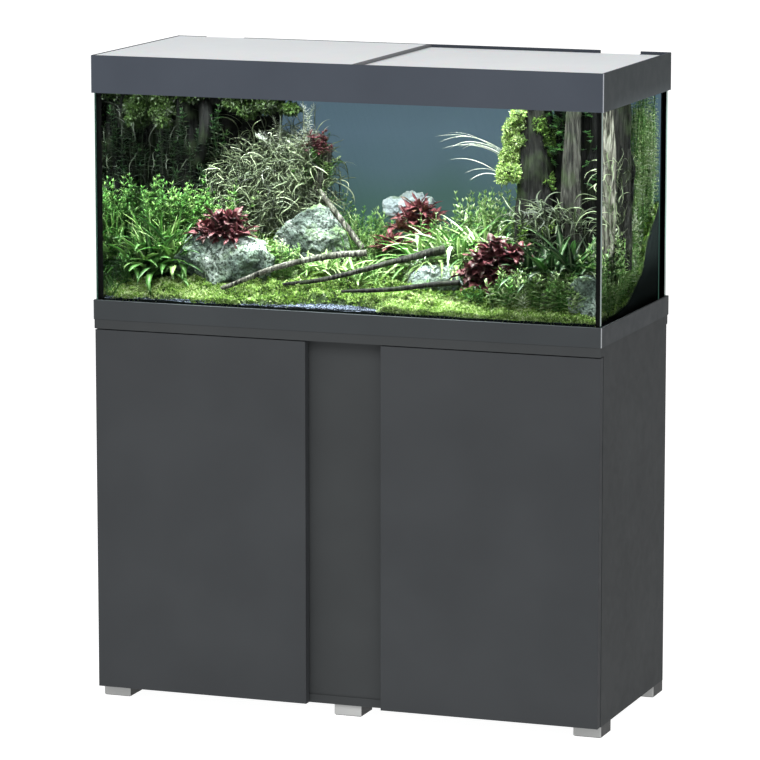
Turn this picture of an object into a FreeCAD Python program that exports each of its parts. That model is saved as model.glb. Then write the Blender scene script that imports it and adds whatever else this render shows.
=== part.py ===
"""A planted aquarium on its cabinet stand, as a parametric FreeCAD document of separate sub-parts.

Units are millimetres. The origin is on the floor under the middle of the stand: +X to the right,
-Y to the front, +Z up. Every driving dimension is a cell of the spreadsheet called Sizes, and the
objects are bound to those cells by expressions. Each sub-part's Label names its STEP file.
"""
import FreeCAD
import Part
import os
import re
import sys
import Sketcher
from FreeCAD import Placement, Rotation, Vector

DOCUMENT = FreeCAD.newDocument("AquariumOnStand")

# ---------------------------------------------------------------- driving dimensions
SIZES = {
    # whole object
    "overall_width": 1010, "overall_depth": 430, "overall_height": 1240,
    "corner_radius": 1.6, "edge_radius": 0.7,
    # stand
    "cabinet_height": 738, "foot_height": 22, "foot_pad": 1.5, "foot_length": 55,
    "foot_depth": 60, "foot_corner": 2, "foot_inset": 5, "glide_margin": 2,
    "carcass_width": 1004,
    "board": 16, "top_board": 18, "top_width": 1006, "top_depth": 428, "back_board": 3,
    "back_cut_width": 110, "back_cut_height": 70, "back_cut_inset": 95,
    "middle_width": 160, "middle_recess": 2, "shelf_level": 350, "shelf_front_inset": 30,
    "shelf_play": 1, "pin_radius": 2.5, "pin_length": 16, "pin_spacing": 32,
    "cam_radius": 7.5, "cam_depth": 12.5, "cam_inset": 34, "cam_slot": 2,
    # doors and their hinges
    "door_board": 18, "door_inset": 2, "door_gap": 3, "door_reveal": 2, "door_bottom_gap": 1,
    "door_spacing": 150, "hinge_low": 98, "hinge_high": 598, "cup_radius": 17.4,
    "cup_depth": 11.8, "cup_wall": 1.2, "cup_floor": 1, "cup_centre": 20, "cup_play": 0.1,
    "flange": 1.2, "flange_width": 20, "flange_height": 60, "knuckle_radius": 2.1,
    "hinge_pin_radius": 1.5, "hinge_pin_length": 20, "hinge_play": 0.05,
    "pivot_inset": 7, "pivot_depth": 8.5, "arm_width": 8, "arm_plate": 2, "arm_reach": 14,
    "arm_body_length": 66, "arm_body_width": 12, "arm_body_depth": 9, "plate_length": 40,
    "plate_height": 50, "plate_thickness": 3, "bumper_radius": 4, "bumper_thickness": 2.7,
    # tank
    "frame_height": 37, "frame_wall": 4, "frame_flange": 30, "frame_floor": 7,
    "foam": 2, "tank_length": 1000, "tank_depth": 420, "glass": 8, "bottom_glass": 10,
    "seam": 1, "bead": 3, "wall_height": 439, "brace_width": 40, "brace_thickness": 6,
    "brace_drop": 12, "film": 0.5,
    # hood, lids and lamp
    "hood_height": 71, "hood_wall": 4, "hood_rest": 28, "rest_width": 25, "rest_thickness": 3,
    "track_level": 57.5, "track_width": 14, "track_thickness": 4, "step_width": 6,
    "step_height": 4.7, "lid_thickness": 4, "lid_play": 0.5, "lid_lift": 0.2,
    "left_lid_end": 17, "profile_width": 8, "profile_height": 4.5, "right_lid_start": 10,
    "notch_width": 80, "notch_inset": 60, "notch_depth": 16, "lamp_length": 930,
    "lamp_width": 40, "lamp_height": 16, "lamp_wall": 3, "lamp_level": 1204, "led_width": 24,
    "led_thickness": 1.6, "led_inset": 10, "diffuser": 2, "end_cap": 8, "holder_width": 32,
    "holder_height": 16,
    # internal filter
    "filter_x": -443, "filter_y": 154, "filter_bottom": 940, "filter_length": 86,
    "filter_depth": 84, "filter_height": 150, "filter_wall": 3, "slot_height": 3,
    "slot_spacing": 12, "slot_width": 60, "head_height": 60, "head_corner": 8,
    "chamber_radius": 17, "chamber_height": 26, "chamber_level": 8, "impeller_radius": 14,
    "impeller_height": 20, "impeller_hub": 6, "blade_thickness": 2.4, "axle_radius": 1.5,
    "nozzle_radius": 8, "nozzle_bore": 5.5, "nozzle_length": 30, "nozzle_level": 21,
    "dial_radius": 9, "dial_height": 7, "stem_radius": 3, "stem_length": 8,
    "suction_radius": 11,
    # heater
    "heater_x": -352, "heater_y": 180, "heater_bottom": 870, "heater_radius": 13,
    "heater_length": 220, "heater_wall": 1.5, "element_radius": 7, "element_length": 120,
    "element_lift": 20, "heater_cap_radius": 15, "heater_cap_height": 40,
    "heater_dial_radius": 11, "heater_dial_height": 14, "clip_height": 12, "clip_wall": 2.4,
    "clip_low": 50, "clip_high": 180, "clip_play": 0.05, "clip_stalk": 8, "clip_disc": 3,
    # gravel bed
    "bed_inset": 3.5, "bed_front": 29, "bed_middle": 38, "bed_back": 78, "bed_middle_y": -60,
}

# Banks, rocks, moss and plants are blocks that taper from their foot to their top:
# centre x and y, foot level, length along x, depth along y, height, and top size over foot size.
BLOCK_FIELDS = ("x", "y", "level", "length", "depth", "height", "taper")
BANKS = {
    "bank_left": (-329, 79, 760, 318, 238, 165, 0.45),
    "bank_right": (304, 69, 760, 368, 258, 185, 0.45),
}
ROCKS = {
    "rock_left": (-285, -95, 775, 190, 100, 128, 0.6),
    "rock_middle": (-130, 5, 775, 155, 60, 172, 0.5),
    "rock_far": (-5, 171, 790, 85, 46, 168, 0.5),
    "rock_front": (135, -62, 775, 105, 44, 75, 0.6),
    "rock_right": (455, -160, 770, 55, 40, 98, 0.6),
}
MOSS = {
    "moss_left": (-377, -173, 775, 210, 42, 40, 0.9),
    "moss_middle": (-95, -133, 775, 300, 124, 30, 0.9),
    "moss_right": (280, -168, 775, 400, 54, 28, 0.9),
    "moss_trunk": (243, 30, 1015, 44, 60, 125, 0.8),
}
RED_PLANTS = {
    "red_left": (-285, -95, 903.3, 105, 55, 62, 1.15),
    "red_middle": (45, 90, 780, 85, 60, 182, 1),
    "red_low": (-18, 25, 775, 50, 40, 150, 1),
    "red_right": (265, -96, 775, 105, 68, 150, 1),
}
LEAVES_LEFT = {
    "broadleaf_left": (-437, -92, 775, 92, 104, 180, 1),
    "fern_left": (-391, -6, 775, 182, 62, 230, 1),
}
LEAVES_RIGHT = {
    "broadleaf_middle": (160, -3, 775, 180, 66, 225, 1),
    "ribbon_leaves": (165, 62, 1010, 108, 34, 100, 1),
    "curly_right": (348, -61, 930, 160, 28, 100, 1),
    "broadleaf_right": (404, -106, 775, 156, 56, 150, 1),
    "stems_side": (460, -36, 775, 46, 60, 375, 1),
    "hanging_side": (441, 142, 880, 86, 90, 280, 1),
}
GRASS = {"grass_left": (-253, 88, 775, 230, 96, 330, 0.7)}
BLOCKS = {**BANKS, **ROCKS, **MOSS, **RED_PLANTS, **LEAVES_LEFT, **LEAVES_RIGHT, **GRASS}
SIZES.update((f"{block}_{field}", value) for block, values in BLOCKS.items()
             for field, value in zip(BLOCK_FIELDS, values))

# Driftwood is a round tapering stem: each point on it is x, y, z and the radius there.
WOOD_FIELDS = ("x", "y", "z", "radius")
WOOD = {
    "trunk_left": ((-432, 72, 840, 37), (-418, 66, 1010, 31), (-426, 62, 1142, 25)),
    "root_left": ((-426, 62, 1128, 17), (-300, 40, 1142, 13), (-175, 25, 1150, 7)),
    "trunk_right": ((284, 46, 850, 36), (296, 40, 1010, 31), (290, 40, 1158, 26)),
    "trunk_thin": ((392, -14, 790, 24), (380, -18, 980, 21), (388, -20, 1158, 18)),
    "trunk_back": ((436, 48, 870, 38), (440, 46, 1010, 36), (436, 48, 1160, 36)),
    "branch_left": ((-261, -168, 802, 6), (-157, -155, 845, 7), (-64, -130, 868, 8),
                    (6, -100, 874, 9)),
    "branch_middle": ((-143, -152, 814, 4), (-56, -138, 828, 6), (66, -105, 862, 8),
                      (160, -96, 888, 11)),
    "branch_front": ((-13, -186, 812, 4), (79, -166, 818, 6), (150, -148, 828, 7),
                     (205, -142, 834, 8)),
}
SIZES.update((f"{piece}_{number}_{field}", value) for piece, points in WOOD.items()
             for number, point in enumerate(points) for field, value in zip(WOOD_FIELDS, point))

SHEET = DOCUMENT.addObject("Spreadsheet::Sheet", "Sizes")
for row, (alias, value) in enumerate(SIZES.items(), 1):
    SHEET.set(f"A{row}", alias.replace("_", " "))
    SHEET.set(f"B{row}", str(value))
    SHEET.setAlias(f"B{row}", alias)
DOCUMENT.recompute()

# ---------------------------------------------------------------- levels and faces, as expressions
DOOR_BACK = "(-overall_depth / 2 + door_inset + door_board)"
CARCASS_FRONT = "(-overall_depth / 2 + door_inset + door_board + door_gap)"
CARCASS_BACK = "(top_depth / 2 - back_board)"
CARCASS_DEPTH = f"({CARCASS_BACK} - {CARCASS_FRONT})"
BOTTOM_BOARD_TOP = "(foot_height + board)"
TOP_BOARD_UNDER = "(cabinet_height - top_board)"
INNER_HALF = "(carcass_width / 2 - board)"
PARTITION_HALF = "(middle_width / 2)"
PANE_FOOT = "(cabinet_height + frame_floor + foam + bottom_glass + seam)"
BED_FOOT = "(cabinet_height + frame_floor + foam + bottom_glass)"
RIM = f"({PANE_FOOT} + wall_height)"
HOOD_FOOT = "(overall_height - hood_height)"
TRACK_TOP = f"({HOOD_FOOT} + track_level + track_thickness)"
FILTER_TOP = "(filter_bottom + filter_height)"
HEATER_TOP = "(heater_bottom + heater_length)"

nodes = []


# ---------------------------------------------------------------- helpers
def expression(text):
    """The text with every alias of the spreadsheet made a reference to its cell."""
    return re.sub(r"[a-z]\w*", lambda m: "Sizes." + m[0] if m[0] in SIZES else m[0], str(text))


def bind(thing, **texts):
    for name, text in texts.items():
        thing.setExpression(name, expression(text))
    return thing


def put(thing, at, turn=None):
    """Places thing: at is three expressions, turn an axis and an angle in degrees."""
    if turn:
        thing.Placement = Placement(Vector(), Rotation(Vector(*turn[0]), turn[1]))
    for axis, text in zip("xyz", at):
        thing.setExpression(f"Placement.Base.{axis}", expression(text))
    return thing


def box(name, at, size):
    made = DOCUMENT.addObject("Part::Box", name)
    bind(made, Length=size[0], Width=size[1], Height=size[2])
    return put(made, at)


def centred_box(name, length, depth, level, height):
    """A box centred on the Z axis."""
    return box(name, (f"-({length}) / 2", f"-({depth}) / 2", level), (length, depth, height))


TURNS = {"X": ((0, 1, 0), 90), "Y": ((1, 0, 0), -90), "Z": None}


def cylinder(name, radius, height, at, axis="Z"):
    made = DOCUMENT.addObject("Part::Cylinder", name)
    bind(made, Radius=radius, Height=height)
    return put(made, at, TURNS[axis])


def cut(name, base, *tools):
    made = DOCUMENT.addObject("Part::Cut", name)
    made.Base = base
    made.Tool = tools[0] if len(tools) == 1 else fuse(name + "_tools", *tools)
    return made


def fuse(name, *parts):
    made = DOCUMENT.addObject("Part::MultiFuse", name)
    made.Shapes = list(parts)
    return made


def group(name, *parts):
    made = DOCUMENT.addObject("Part::Compound", name)
    made.Links = list(parts)
    return made


def mirror(name, source):
    """The left-hand source mirrored to the right."""
    made = DOCUMENT.addObject("Part::Mirroring", name)
    made.Source = source
    made.Normal = Vector(1, 0, 0)
    return made


def node(label, thing):
    """Names a finished sub-part."""
    thing.Label = label
    nodes.append(thing)
    return thing


def body(name, at=("0", "0", "0"), turn=None):
    return put(DOCUMENT.addObject("PartDesign::Body", name), at, turn)


def sketch(owner, name, role, outlines=(), circles=(), lift=None):
    """A sketch on one of the body's own origin planes. Each outline is a list of corners and
    each circle a centre and a radius, as expressions. lift raises it along the plane's normal."""
    drawn = owner.newObject("Sketcher::SketchObject", name)
    plane = next(f for f in owner.Origin.OriginFeatures if f.Role == role)
    drawn.AttachmentSupport = (plane, [""])
    drawn.MapMode = "FlatFace"
    if lift is not None:
        drawn.setExpression("AttachmentOffset.Base.z", expression(lift))
    for corners in outlines:
        first = drawn.GeometryCount
        guess = [Vector(number(x), number(y), 0) for x, y in corners]
        for start, end in zip(guess, guess[1:] + guess[:1]):
            drawn.addGeometry(Part.LineSegment(start, end), False)
        for index, (x, y) in enumerate(corners):
            line, following = first + index, first + (index + 1) % len(corners)
            drawn.addConstraint(Sketcher.Constraint("Coincident", line, 2, following, 1))
            for kind, text in (("DistanceX", x), ("DistanceY", y)):
                fix(drawn, kind, line, text)
    for x, y, radius in circles:
        centre = Vector(number(x), number(y), 0)
        line = drawn.addGeometry(Part.Circle(centre, Vector(0, 0, 1), number(radius)), False)
        made = drawn.addConstraint(Sketcher.Constraint("Radius", line, number(radius)))
        drawn.setExpression(f"Constraints[{made}]", expression(radius))
        for kind, text in (("DistanceX", x), ("DistanceY", y)):
            fix(drawn, kind, line, text, 3)
    return drawn


def fix(drawn, kind, line, text, point=1):
    """Holds one coordinate of a sketched point at an expression."""
    value = number(text)
    if abs(value) < 1e-9:
        along = -2 if kind == "DistanceX" else -1
        drawn.addConstraint(Sketcher.Constraint("PointOnObject", line, point, along))
        return
    made = drawn.addConstraint(Sketcher.Constraint(kind, -1, 1, line, point, value))
    drawn.setExpression(f"Constraints[{made}]", expression(text))


def number(text):
    """What an expression over the spreadsheet comes to."""
    plain = re.sub(r"[a-z]\w*", lambda m: repr(float(SIZES[m[0]])), str(text))
    return FreeCAD.Units.Quantity(plain).Value


def rectangle(length, depth, x="0", y="0"):
    """Corners of a rectangle centred on x, y."""
    return [(f"{x} + ({sx}) * ({length}) / 2", f"{y} + ({sy}) * ({depth}) / 2")
            for sx, sy in ((-1, -1), (1, -1), (1, 1), (-1, 1))]


def feature(owner, kind, name, profile, length=None, **settings):
    """A PartDesign feature on a sketch; length is an expression."""
    made = owner.newObject("PartDesign::" + kind, name)
    made.Profile = profile
    if length is not None:
        made.setExpression("Length", expression(length))
    for key, value in settings.items():
        setattr(made, key, value)
    profile.Visibility = False
    return made


def soften(owner, name, radius, chosen):
    """Rounds the edges of a body's last feature whose bounding box is one of the chosen."""
    DOCUMENT.recompute()
    base = owner.Tip
    made = owner.newObject("PartDesign::Fillet", name)
    made.Base = (base, [f"Edge{number_of}" for number_of, edge in enumerate(base.Shape.Edges, 1)
                        if chosen(edge.BoundBox)])
    bind(made, Radius=radius)


def upright(bounds):
    """True for the bounding box of an upright edge."""
    return bounds.ZLength > 1 and bounds.DiagonalLength < bounds.ZLength + 0.01


def upright_corner(bounds):
    """True for the bounding box of an upright edge at an outer corner of the tank's frames."""
    return upright(bounds) and min(abs(bounds.XMin) - number("overall_width / 2"),
                                   abs(bounds.YMin) - number("overall_depth / 2")) > -0.01


def top_outline(level):
    """A test for the bounding boxes of the outer edges round the top of the tank's frames."""
    half_x, half_y = number("overall_width / 2"), number("overall_depth / 2")

    def chosen(bounds):
        outside = min(abs(bounds.XMin), abs(bounds.XMax)) > half_x - 2 or \
            min(abs(bounds.YMin), abs(bounds.YMax)) > half_y - 2
        return bounds.ZMin > number(level) - 0.01 and outside
    return chosen


def block(name):
    """One tapering block, from the spreadsheet's cells for it."""
    made = DOCUMENT.addObject("Part::Wedge", name)
    half_x, half_y = f"{name}_length / 2", f"{name}_depth / 2"
    top_x, top_y = f"{half_x} * {name}_taper", f"{half_y} * {name}_taper"
    bind(made, Xmin=f"-{half_x}", Xmax=half_x, Zmin=f"-{half_y}", Zmax=half_y,
         X2min=f"-{top_x}", X2max=top_x, Z2min=f"-{top_y}", Z2max=top_y,
         Ymin="0", Ymax=f"{name}_height")
    return put(made, (f"{name}_x", f"{name}_y", f"{name}_level"), ((1, 0, 0), 90))


# ---------------------------------------------------------------- stand
def boards():
    """Sides, partitions, bottom, top, fixed middle front and thin back."""
    wall_height = f"{TOP_BOARD_UNDER} - foot_height"
    shelf_pin_levels = [f"shelf_level + ({step}) * pin_spacing - pin_radius"
                        for step in (-2, -1, 0, 1, 2)]

    def pin_holes(name, x):
        return [cylinder(f"{name}_{row}_{side}", "pin_radius", "pin_length / 2",
                         (x, f"{face} + ({inward}) * 2 * pin_spacing", level), "X")
                for row, level in enumerate(shelf_pin_levels)
                for side, (face, inward) in enumerate(((CARCASS_FRONT, 1), (CARCASS_BACK, -1)))]

    side_blank = box("side_blank", ("-carcass_width / 2", CARCASS_FRONT, "foot_height"),
                     ("board", CARCASS_DEPTH, wall_height))
    side = cut("side_left", side_blank, *pin_holes("side_hole", f"-{INNER_HALF} - pin_length / 2"))
    node("side_panel_left", side)
    node("side_panel_right", mirror("side_right", side))

    partition_blank = box("partition_blank", (f"-{PARTITION_HALF} - board", CARCASS_FRONT,
                          BOTTOM_BOARD_TOP), ("board", CARCASS_DEPTH, f"{wall_height} - board"))
    partition = cut("partition_l", partition_blank,
                    *pin_holes("partition_hole", f"-{PARTITION_HALF} - board"))
    node("partition_left", partition)
    node("partition_right", mirror("partition_r", partition))

    node("middle_panel", box("middle", (f"-{PARTITION_HALF}", f"{CARCASS_FRONT} + middle_recess",
         BOTTOM_BOARD_TOP), ("middle_width", "board", f"{wall_height} - board")))

    cams = []
    cam_places = [(f"({side}) * ({x})", y)
                  for side in (-1, 1)
                  for x in (f"{INNER_HALF} - cam_inset", f"{PARTITION_HALF} + board + cam_inset")
                  for y in (f"{CARCASS_FRONT} + 2 * cam_inset", f"{CARCASS_BACK} - 2 * cam_inset")]
    for level, board_name in ((f"{BOTTOM_BOARD_TOP} - cam_depth", "low"), (TOP_BOARD_UNDER, "high")):
        for index, (x, y) in enumerate(cam_places):
            cams.append(cylinder(f"cam_{board_name}_{index}", "cam_radius", "cam_depth",
                                 (x, y, level)))
    low_cams, high_cams = cams[:len(cam_places)], cams[len(cam_places):]
    bottom = centred_box("bottom_blank", f"2 * {INNER_HALF}", "1", "foot_height", "board")
    bind(bottom, Width=CARCASS_DEPTH)
    bottom.setExpression("Placement.Base.y", expression(CARCASS_FRONT))
    node("bottom_panel", cut("bottom", bottom, *low_cams))
    top = centred_box("top_blank", "top_width", "top_depth", TOP_BOARD_UNDER, "top_board")
    node("top_panel", cut("top", top, *high_cams))

    slots = []
    for index, (x, y) in enumerate(cam_places):
        for level, board_name in ((f"{BOTTOM_BOARD_TOP} - cam_slot", "low"),
                                  (TOP_BOARD_UNDER, "high")):
            slots.append(box(f"slot_{board_name}_{index}", (f"{x} - cam_radius", f"{y} - cam_slot / 2",
                             level), ("2 * cam_radius", "cam_slot", "cam_slot")))
    slotted = [cut(cam.Name + "_slotted", cam, slot)
               for cam, slot in zip(cams, slots[0::2] + slots[1::2])]
    node("cam_fittings", group("cams", *slotted))

    back = box("back_blank", ("-(carcass_width / 2 - 2)", CARCASS_BACK, "foot_height + 2"),
               ("carcass_width - 4", "back_board", f"{wall_height} - 4"))
    windows = [box(f"back_cut_{side}", (f"({side}) * ({INNER_HALF} - back_cut_inset)"
               " - back_cut_width / 2", f"{CARCASS_BACK} - 5",
               f"{TOP_BOARD_UNDER} - back_cut_height - board"),
               ("back_cut_width", "back_board + 10", "back_cut_height"))
               for side in (-1, 1)]
    node("back_panel", cut("back", back, *windows))


def shelf():
    """One adjustable shelf in the left compartment, on four pins."""
    length = f"{INNER_HALF} - {PARTITION_HALF} - board - 2 * shelf_play"
    node("left_shelf", box("shelf", (f"-{INNER_HALF} + shelf_play",
         f"{CARCASS_FRONT} + shelf_front_inset", "shelf_level"),
         (length, f"{CARCASS_DEPTH} - shelf_front_inset - shelf_play", "board")))
    ends = (f"-{INNER_HALF} - pin_length / 2", f"-{PARTITION_HALF} - board - pin_length / 2")
    pins = [cylinder(f"shelf_pin_{index}_{row}", "pin_radius", "pin_length",
                     (x, y, "shelf_level - pin_radius"), "X")
            for index, x in enumerate(ends)
            for row, y in enumerate((f"{CARCASS_FRONT} + 2 * pin_spacing",
                                     f"{CARCASS_BACK} - 2 * pin_spacing"))]
    node("shelf_pins", group("pins", *pins))


def foot(name, x, y):
    """One moulded foot with softened upright edges."""
    made = body(name, (x, y, "foot_pad"))
    outline = sketch(made, name + "_outline", "XY_Plane", [rectangle("foot_length", "foot_depth")])
    feature(made, "Pad", name + "_pad", outline, "foot_height - foot_pad")
    soften(made, name + "_fillet", "foot_corner", upright)
    return made


def feet():
    half_x = "carcass_width / 2 - foot_length / 2"
    rows = {"front": f"{CARCASS_FRONT} + foot_inset + foot_depth / 2",
            "back": f"{CARCASS_BACK} - foot_depth / 2"}
    places = [(f"foot_{row}_{column}", f"({side}) * ({half_x})", y)
              for row, y in rows.items()
              for column, side in (("left", -1), ("centre", 0), ("right", 1))]
    node("feet", group("foot_blocks", *[foot(*place) for place in places]))
    pads = [box(name + "_glide", (f"{x} - foot_length / 2 + glide_margin",
                                  f"{y} - foot_depth / 2 + glide_margin", "0"),
                ("foot_length - 2 * glide_margin", "foot_depth - 2 * glide_margin", "foot_pad"))
            for name, x, y in places]
    node("foot_pads", group("glides", *pads))


def door(label, side):
    """An overlay door: a padded board with two blind bores for the hinge cups."""
    outer, inner = "(carcass_width / 2)", "(door_spacing / 2)"
    made = body(label + "_body", ("0", DOOR_BACK, "foot_height + door_bottom_gap"))
    height = f"{TOP_BOARD_UNDER} - door_reveal - foot_height - door_bottom_gap"
    width = f"({outer} - {inner})"
    middle = f"({side}) * ({outer} + {inner}) / 2"
    outline = sketch(made, label + "_outline", "XZ_Plane",
                     [rectangle(width, height, middle, f"({height}) / 2")])
    feature(made, "Pad", label + "_pad", outline, "door_board")
    bores = sketch(made, label + "_bores", "XZ_Plane",
                   circles=[(f"({side}) * ({outer} - cup_centre)", level, "cup_radius + cup_play")
                            for level in ("hinge_low", "hinge_high")])
    feature(made, "Pocket", label + "_cup_bores", bores, "cup_depth + 0.2", Reversed=True)
    soften(made, label + "_edges", "edge_radius",
           lambda bounds: bounds.YMax < 0.01 - number("door_board"))
    return node(label, made)


def hinges():
    """Concealed hinges: cups in the doors, arms and plates on the side panels, pins between."""
    pivot_x = "(-carcass_width / 2 + pivot_inset)"
    pivot_y = f"({DOOR_BACK} - pivot_depth)"
    cup_x = "(-carcass_width / 2 + cup_centre)"
    cups, arms, pins = [], [], []
    for tag in ("low", "high"):
        level = f"(foot_height + door_bottom_gap + hinge_{tag})"
        shell = cylinder(f"cup_{tag}", "cup_radius", "cup_depth",
                         (cup_x, f"{DOOR_BACK} - cup_depth", level), "Y")
        flange = box(f"flange_{tag}", (f"{cup_x} - flange_width / 2", DOOR_BACK,
                     f"{level} - flange_height / 2"), ("flange_width", "flange", "flange_height"))
        hollow = cylinder(f"cup_hollow_{tag}", "cup_radius - cup_wall", "cup_depth + 2",
                          (cup_x, f"{DOOR_BACK} - cup_depth + cup_floor", level), "Y")
        bore = cylinder(f"cup_bore_{tag}", "hinge_pin_radius + hinge_play", "hinge_pin_length",
                        (pivot_x, pivot_y, f"{level} - hinge_pin_length / 2"))
        cups.append(cut(f"hinge_cup_{tag}", fuse(f"cup_solid_{tag}", shell, flange), hollow, bore))

        knuckle = cylinder(f"knuckle_{tag}", "knuckle_radius", "arm_width",
                           (pivot_x, pivot_y, f"{level} - arm_width / 2"))
        reach = box(f"reach_{tag}", (pivot_x, f"{pivot_y} - arm_plate / 2",
                    f"{level} - arm_width / 2"), ("arm_reach", "arm_plate", "arm_width"))
        neck = box(f"neck_{tag}", (f"{pivot_x} + arm_reach - arm_plate",
                   f"{pivot_y} - arm_plate / 2", f"{level} - arm_width / 2"),
                   ("arm_plate", "arm_body_length / 3", "arm_width"))
        arm_body = box(f"arm_body_{tag}", (f"-{INNER_HALF} + plate_thickness",
                       f"{CARCASS_FRONT} + 4", f"{level} - arm_body_width / 2"),
                       ("arm_body_depth", "arm_body_length", "arm_body_width"))
        pin_hole = cylinder(f"pin_hole_{tag}", "hinge_pin_radius", "2 * arm_width",
                            (pivot_x, pivot_y, f"{level} - arm_width"))
        arms.append(cut(f"hinge_arm_{tag}", fuse(f"arm_{tag}", knuckle, reach, neck, arm_body),
                        pin_hole))
        arms.append(box(f"hinge_plate_{tag}", (f"-{INNER_HALF}", f"{CARCASS_FRONT} + 22",
                        f"{level} - plate_height / 2"),
                        ("plate_thickness", "plate_length", "plate_height")))
        pins.append(cylinder(f"hinge_pin_{tag}", "hinge_pin_radius", "hinge_pin_length - 1",
                             (pivot_x, pivot_y, f"{level} - (hinge_pin_length - 1) / 2")))
    left_cups = node("left_hinge_cups", group("cups_left", *cups))
    node("right_hinge_cups", mirror("cups_right", left_cups))
    left_arms = node("left_hinge_arms", group("arms_left", *arms))
    node("right_hinge_arms", mirror("arms_right", left_arms))
    left_pins = group("pins_left", *pins)
    node("hinge_pins", group("all_hinge_pins", left_pins, mirror("pins_right", left_pins)))


def door_bumpers():
    """Soft stops on the partitions' front edges."""
    stops = [cylinder(f"bumper_{side}_{tag}".replace("-", "m"), "bumper_radius", "bumper_thickness",
                      (f"({side}) * ({PARTITION_HALF} + board / 2)",
                       f"{CARCASS_FRONT} - bumper_thickness", level), "Y")
             for side in (-1, 1)
             for tag, level in (("low", "foot_height + 2 * board + 8"),
                                ("high", f"{TOP_BOARD_UNDER} - 2 * board"))]
    node("door_bumpers", group("bumpers", *stops))


# ---------------------------------------------------------------- tank
def bottom_frame():
    """The plastic frame round the foot of the tank, with an inward flange under the glass."""
    made = body("frame_body", ("0", "0", "cabinet_height"))
    flange = sketch(made, "frame_flange_outline", "XY_Plane", [
        rectangle("overall_width", "overall_depth"),
        rectangle("overall_width - 2 * frame_flange", "overall_depth - 2 * frame_flange")])
    feature(made, "Pad", "frame_flange_pad", flange, "frame_floor")
    wall = sketch(made, "frame_wall_outline", "XY_Plane", [
        rectangle("overall_width", "overall_depth"),
        rectangle("overall_width - 2 * frame_wall", "overall_depth - 2 * frame_wall")])
    feature(made, "Pad", "frame_wall_pad", wall, "frame_height")
    soften(made, "frame_corners", "corner_radius", upright_corner)
    soften(made, "frame_rim", "edge_radius", top_outline("frame_height"))
    node("bottom_frame", made)
    outer = centred_box("foam_outer", "tank_length - 4", "tank_depth - 4",
                        "cabinet_height + frame_floor", "foam")
    inner = centred_box("foam_inner", "tank_length - 40", "tank_depth - 40", "cabinet_height", "20")
    node("foam_strip", cut("foam_ring", outer, inner))


def panes():
    """Five panes of glass, and two stiffening strips along the top."""
    node("bottom_pane", centred_box("pane_bottom", "tank_length", "tank_depth",
                                    "cabinet_height + frame_floor + foam", "bottom_glass"))
    side_depth = "tank_depth - 2 * glass - 2 * seam"
    for label, y in (("front_pane", "-tank_depth / 2"), ("back_pane", "tank_depth / 2 - glass")):
        node(label, box(label + "_box", ("-tank_length / 2", y, PANE_FOOT),
                        ("tank_length", "glass", "wall_height")))
    for label, x in (("left_pane", "-tank_length / 2"), ("right_pane", "tank_length / 2 - glass")):
        node(label, box(label + "_box", (x, f"-({side_depth}) / 2", PANE_FOOT),
                        ("glass", side_depth, "wall_height")))
    length = "tank_length - 2 * glass - 2 * bead - 2"
    strips = [box(f"brace_{tag}", (f"-({length}) / 2", y, f"{RIM} - brace_drop"),
                  (length, "brace_width", "brace_thickness"))
              for tag, y in (("front", "-tank_depth / 2 + glass"),
                             ("back", "tank_depth / 2 - glass - brace_width"))]
    node("glass_braces", group("braces", *strips))
    node("background_film", box("film_sheet", ("-tank_length / 2 + glass", "tank_depth / 2",
         f"{PANE_FOOT} + 1"), ("tank_length - 2 * glass", "film", "wall_height - 2")))


def silicone():
    """Black silicone: under the walls, in the upright joints, and a bead round the inside."""
    inner_length, inner_depth = "(tank_length - 2 * glass)", "(tank_depth - 2 * glass)"
    bed = cut("seam_bed", centred_box("seam_bed_outer", "tank_length", "tank_depth", BED_FOOT, "seam"),
              centred_box("seam_bed_inner", inner_length, inner_depth, BED_FOOT, "seam"))
    solids = [bed]
    for sx in (-1, 1):
        for sy in (-1, 1):
            tag = f"{'right' if sx > 0 else 'left'}_{'back' if sy > 0 else 'front'}"
            x0 = f"({sx}) * (tank_length / 2 - glass / 2) - glass / 2"
            y0 = f"({sy}) * (tank_depth / 2 - glass - seam / 2) - seam / 2"
            solids.append(box(f"joint_{tag}", (x0, y0, BED_FOOT),
                              ("glass", "seam", "wall_height + seam")))
            corner_x = f"({sx}) * {inner_length} / 2"
            corner_y = f"({sy}) * {inner_depth} / 2"
            triangle = [(corner_x, corner_y), (f"{corner_x} - ({sx}) * bead", corner_y),
                        (corner_x, f"{corner_y} - ({sy}) * bead")]
            bead = body(f"bead_{tag}", ("0", "0", BED_FOOT))
            outline = sketch(bead, f"bead_outline_{tag}", "XY_Plane", [triangle])
            feature(bead, "Pad", f"bead_pad_{tag}", outline, "wall_height - brace_drop")
            solids.append(bead)
    hollow = DOCUMENT.addObject("Part::Wedge", "bead_hollow")
    bind(hollow, Xmin=f"-{inner_length} / 2 + bead", Xmax=f"{inner_length} / 2 - bead",
         Zmin=f"-{inner_depth} / 2 + bead", Zmax=f"{inner_depth} / 2 - bead",
         X2min=f"-{inner_length} / 2", X2max=f"{inner_length} / 2",
         Z2min=f"-{inner_depth} / 2", Z2max=f"{inner_depth} / 2", Ymin="0", Ymax="bead")
    put(hollow, ("0", "0", BED_FOOT), ((1, 0, 0), 90))
    bead_block = centred_box("bead_block", inner_length, inner_depth, BED_FOOT, "bead")
    solids.append(cut("bead_ring", bead_block, hollow))
    node("silicone_seams", fuse("seams", *solids))


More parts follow.
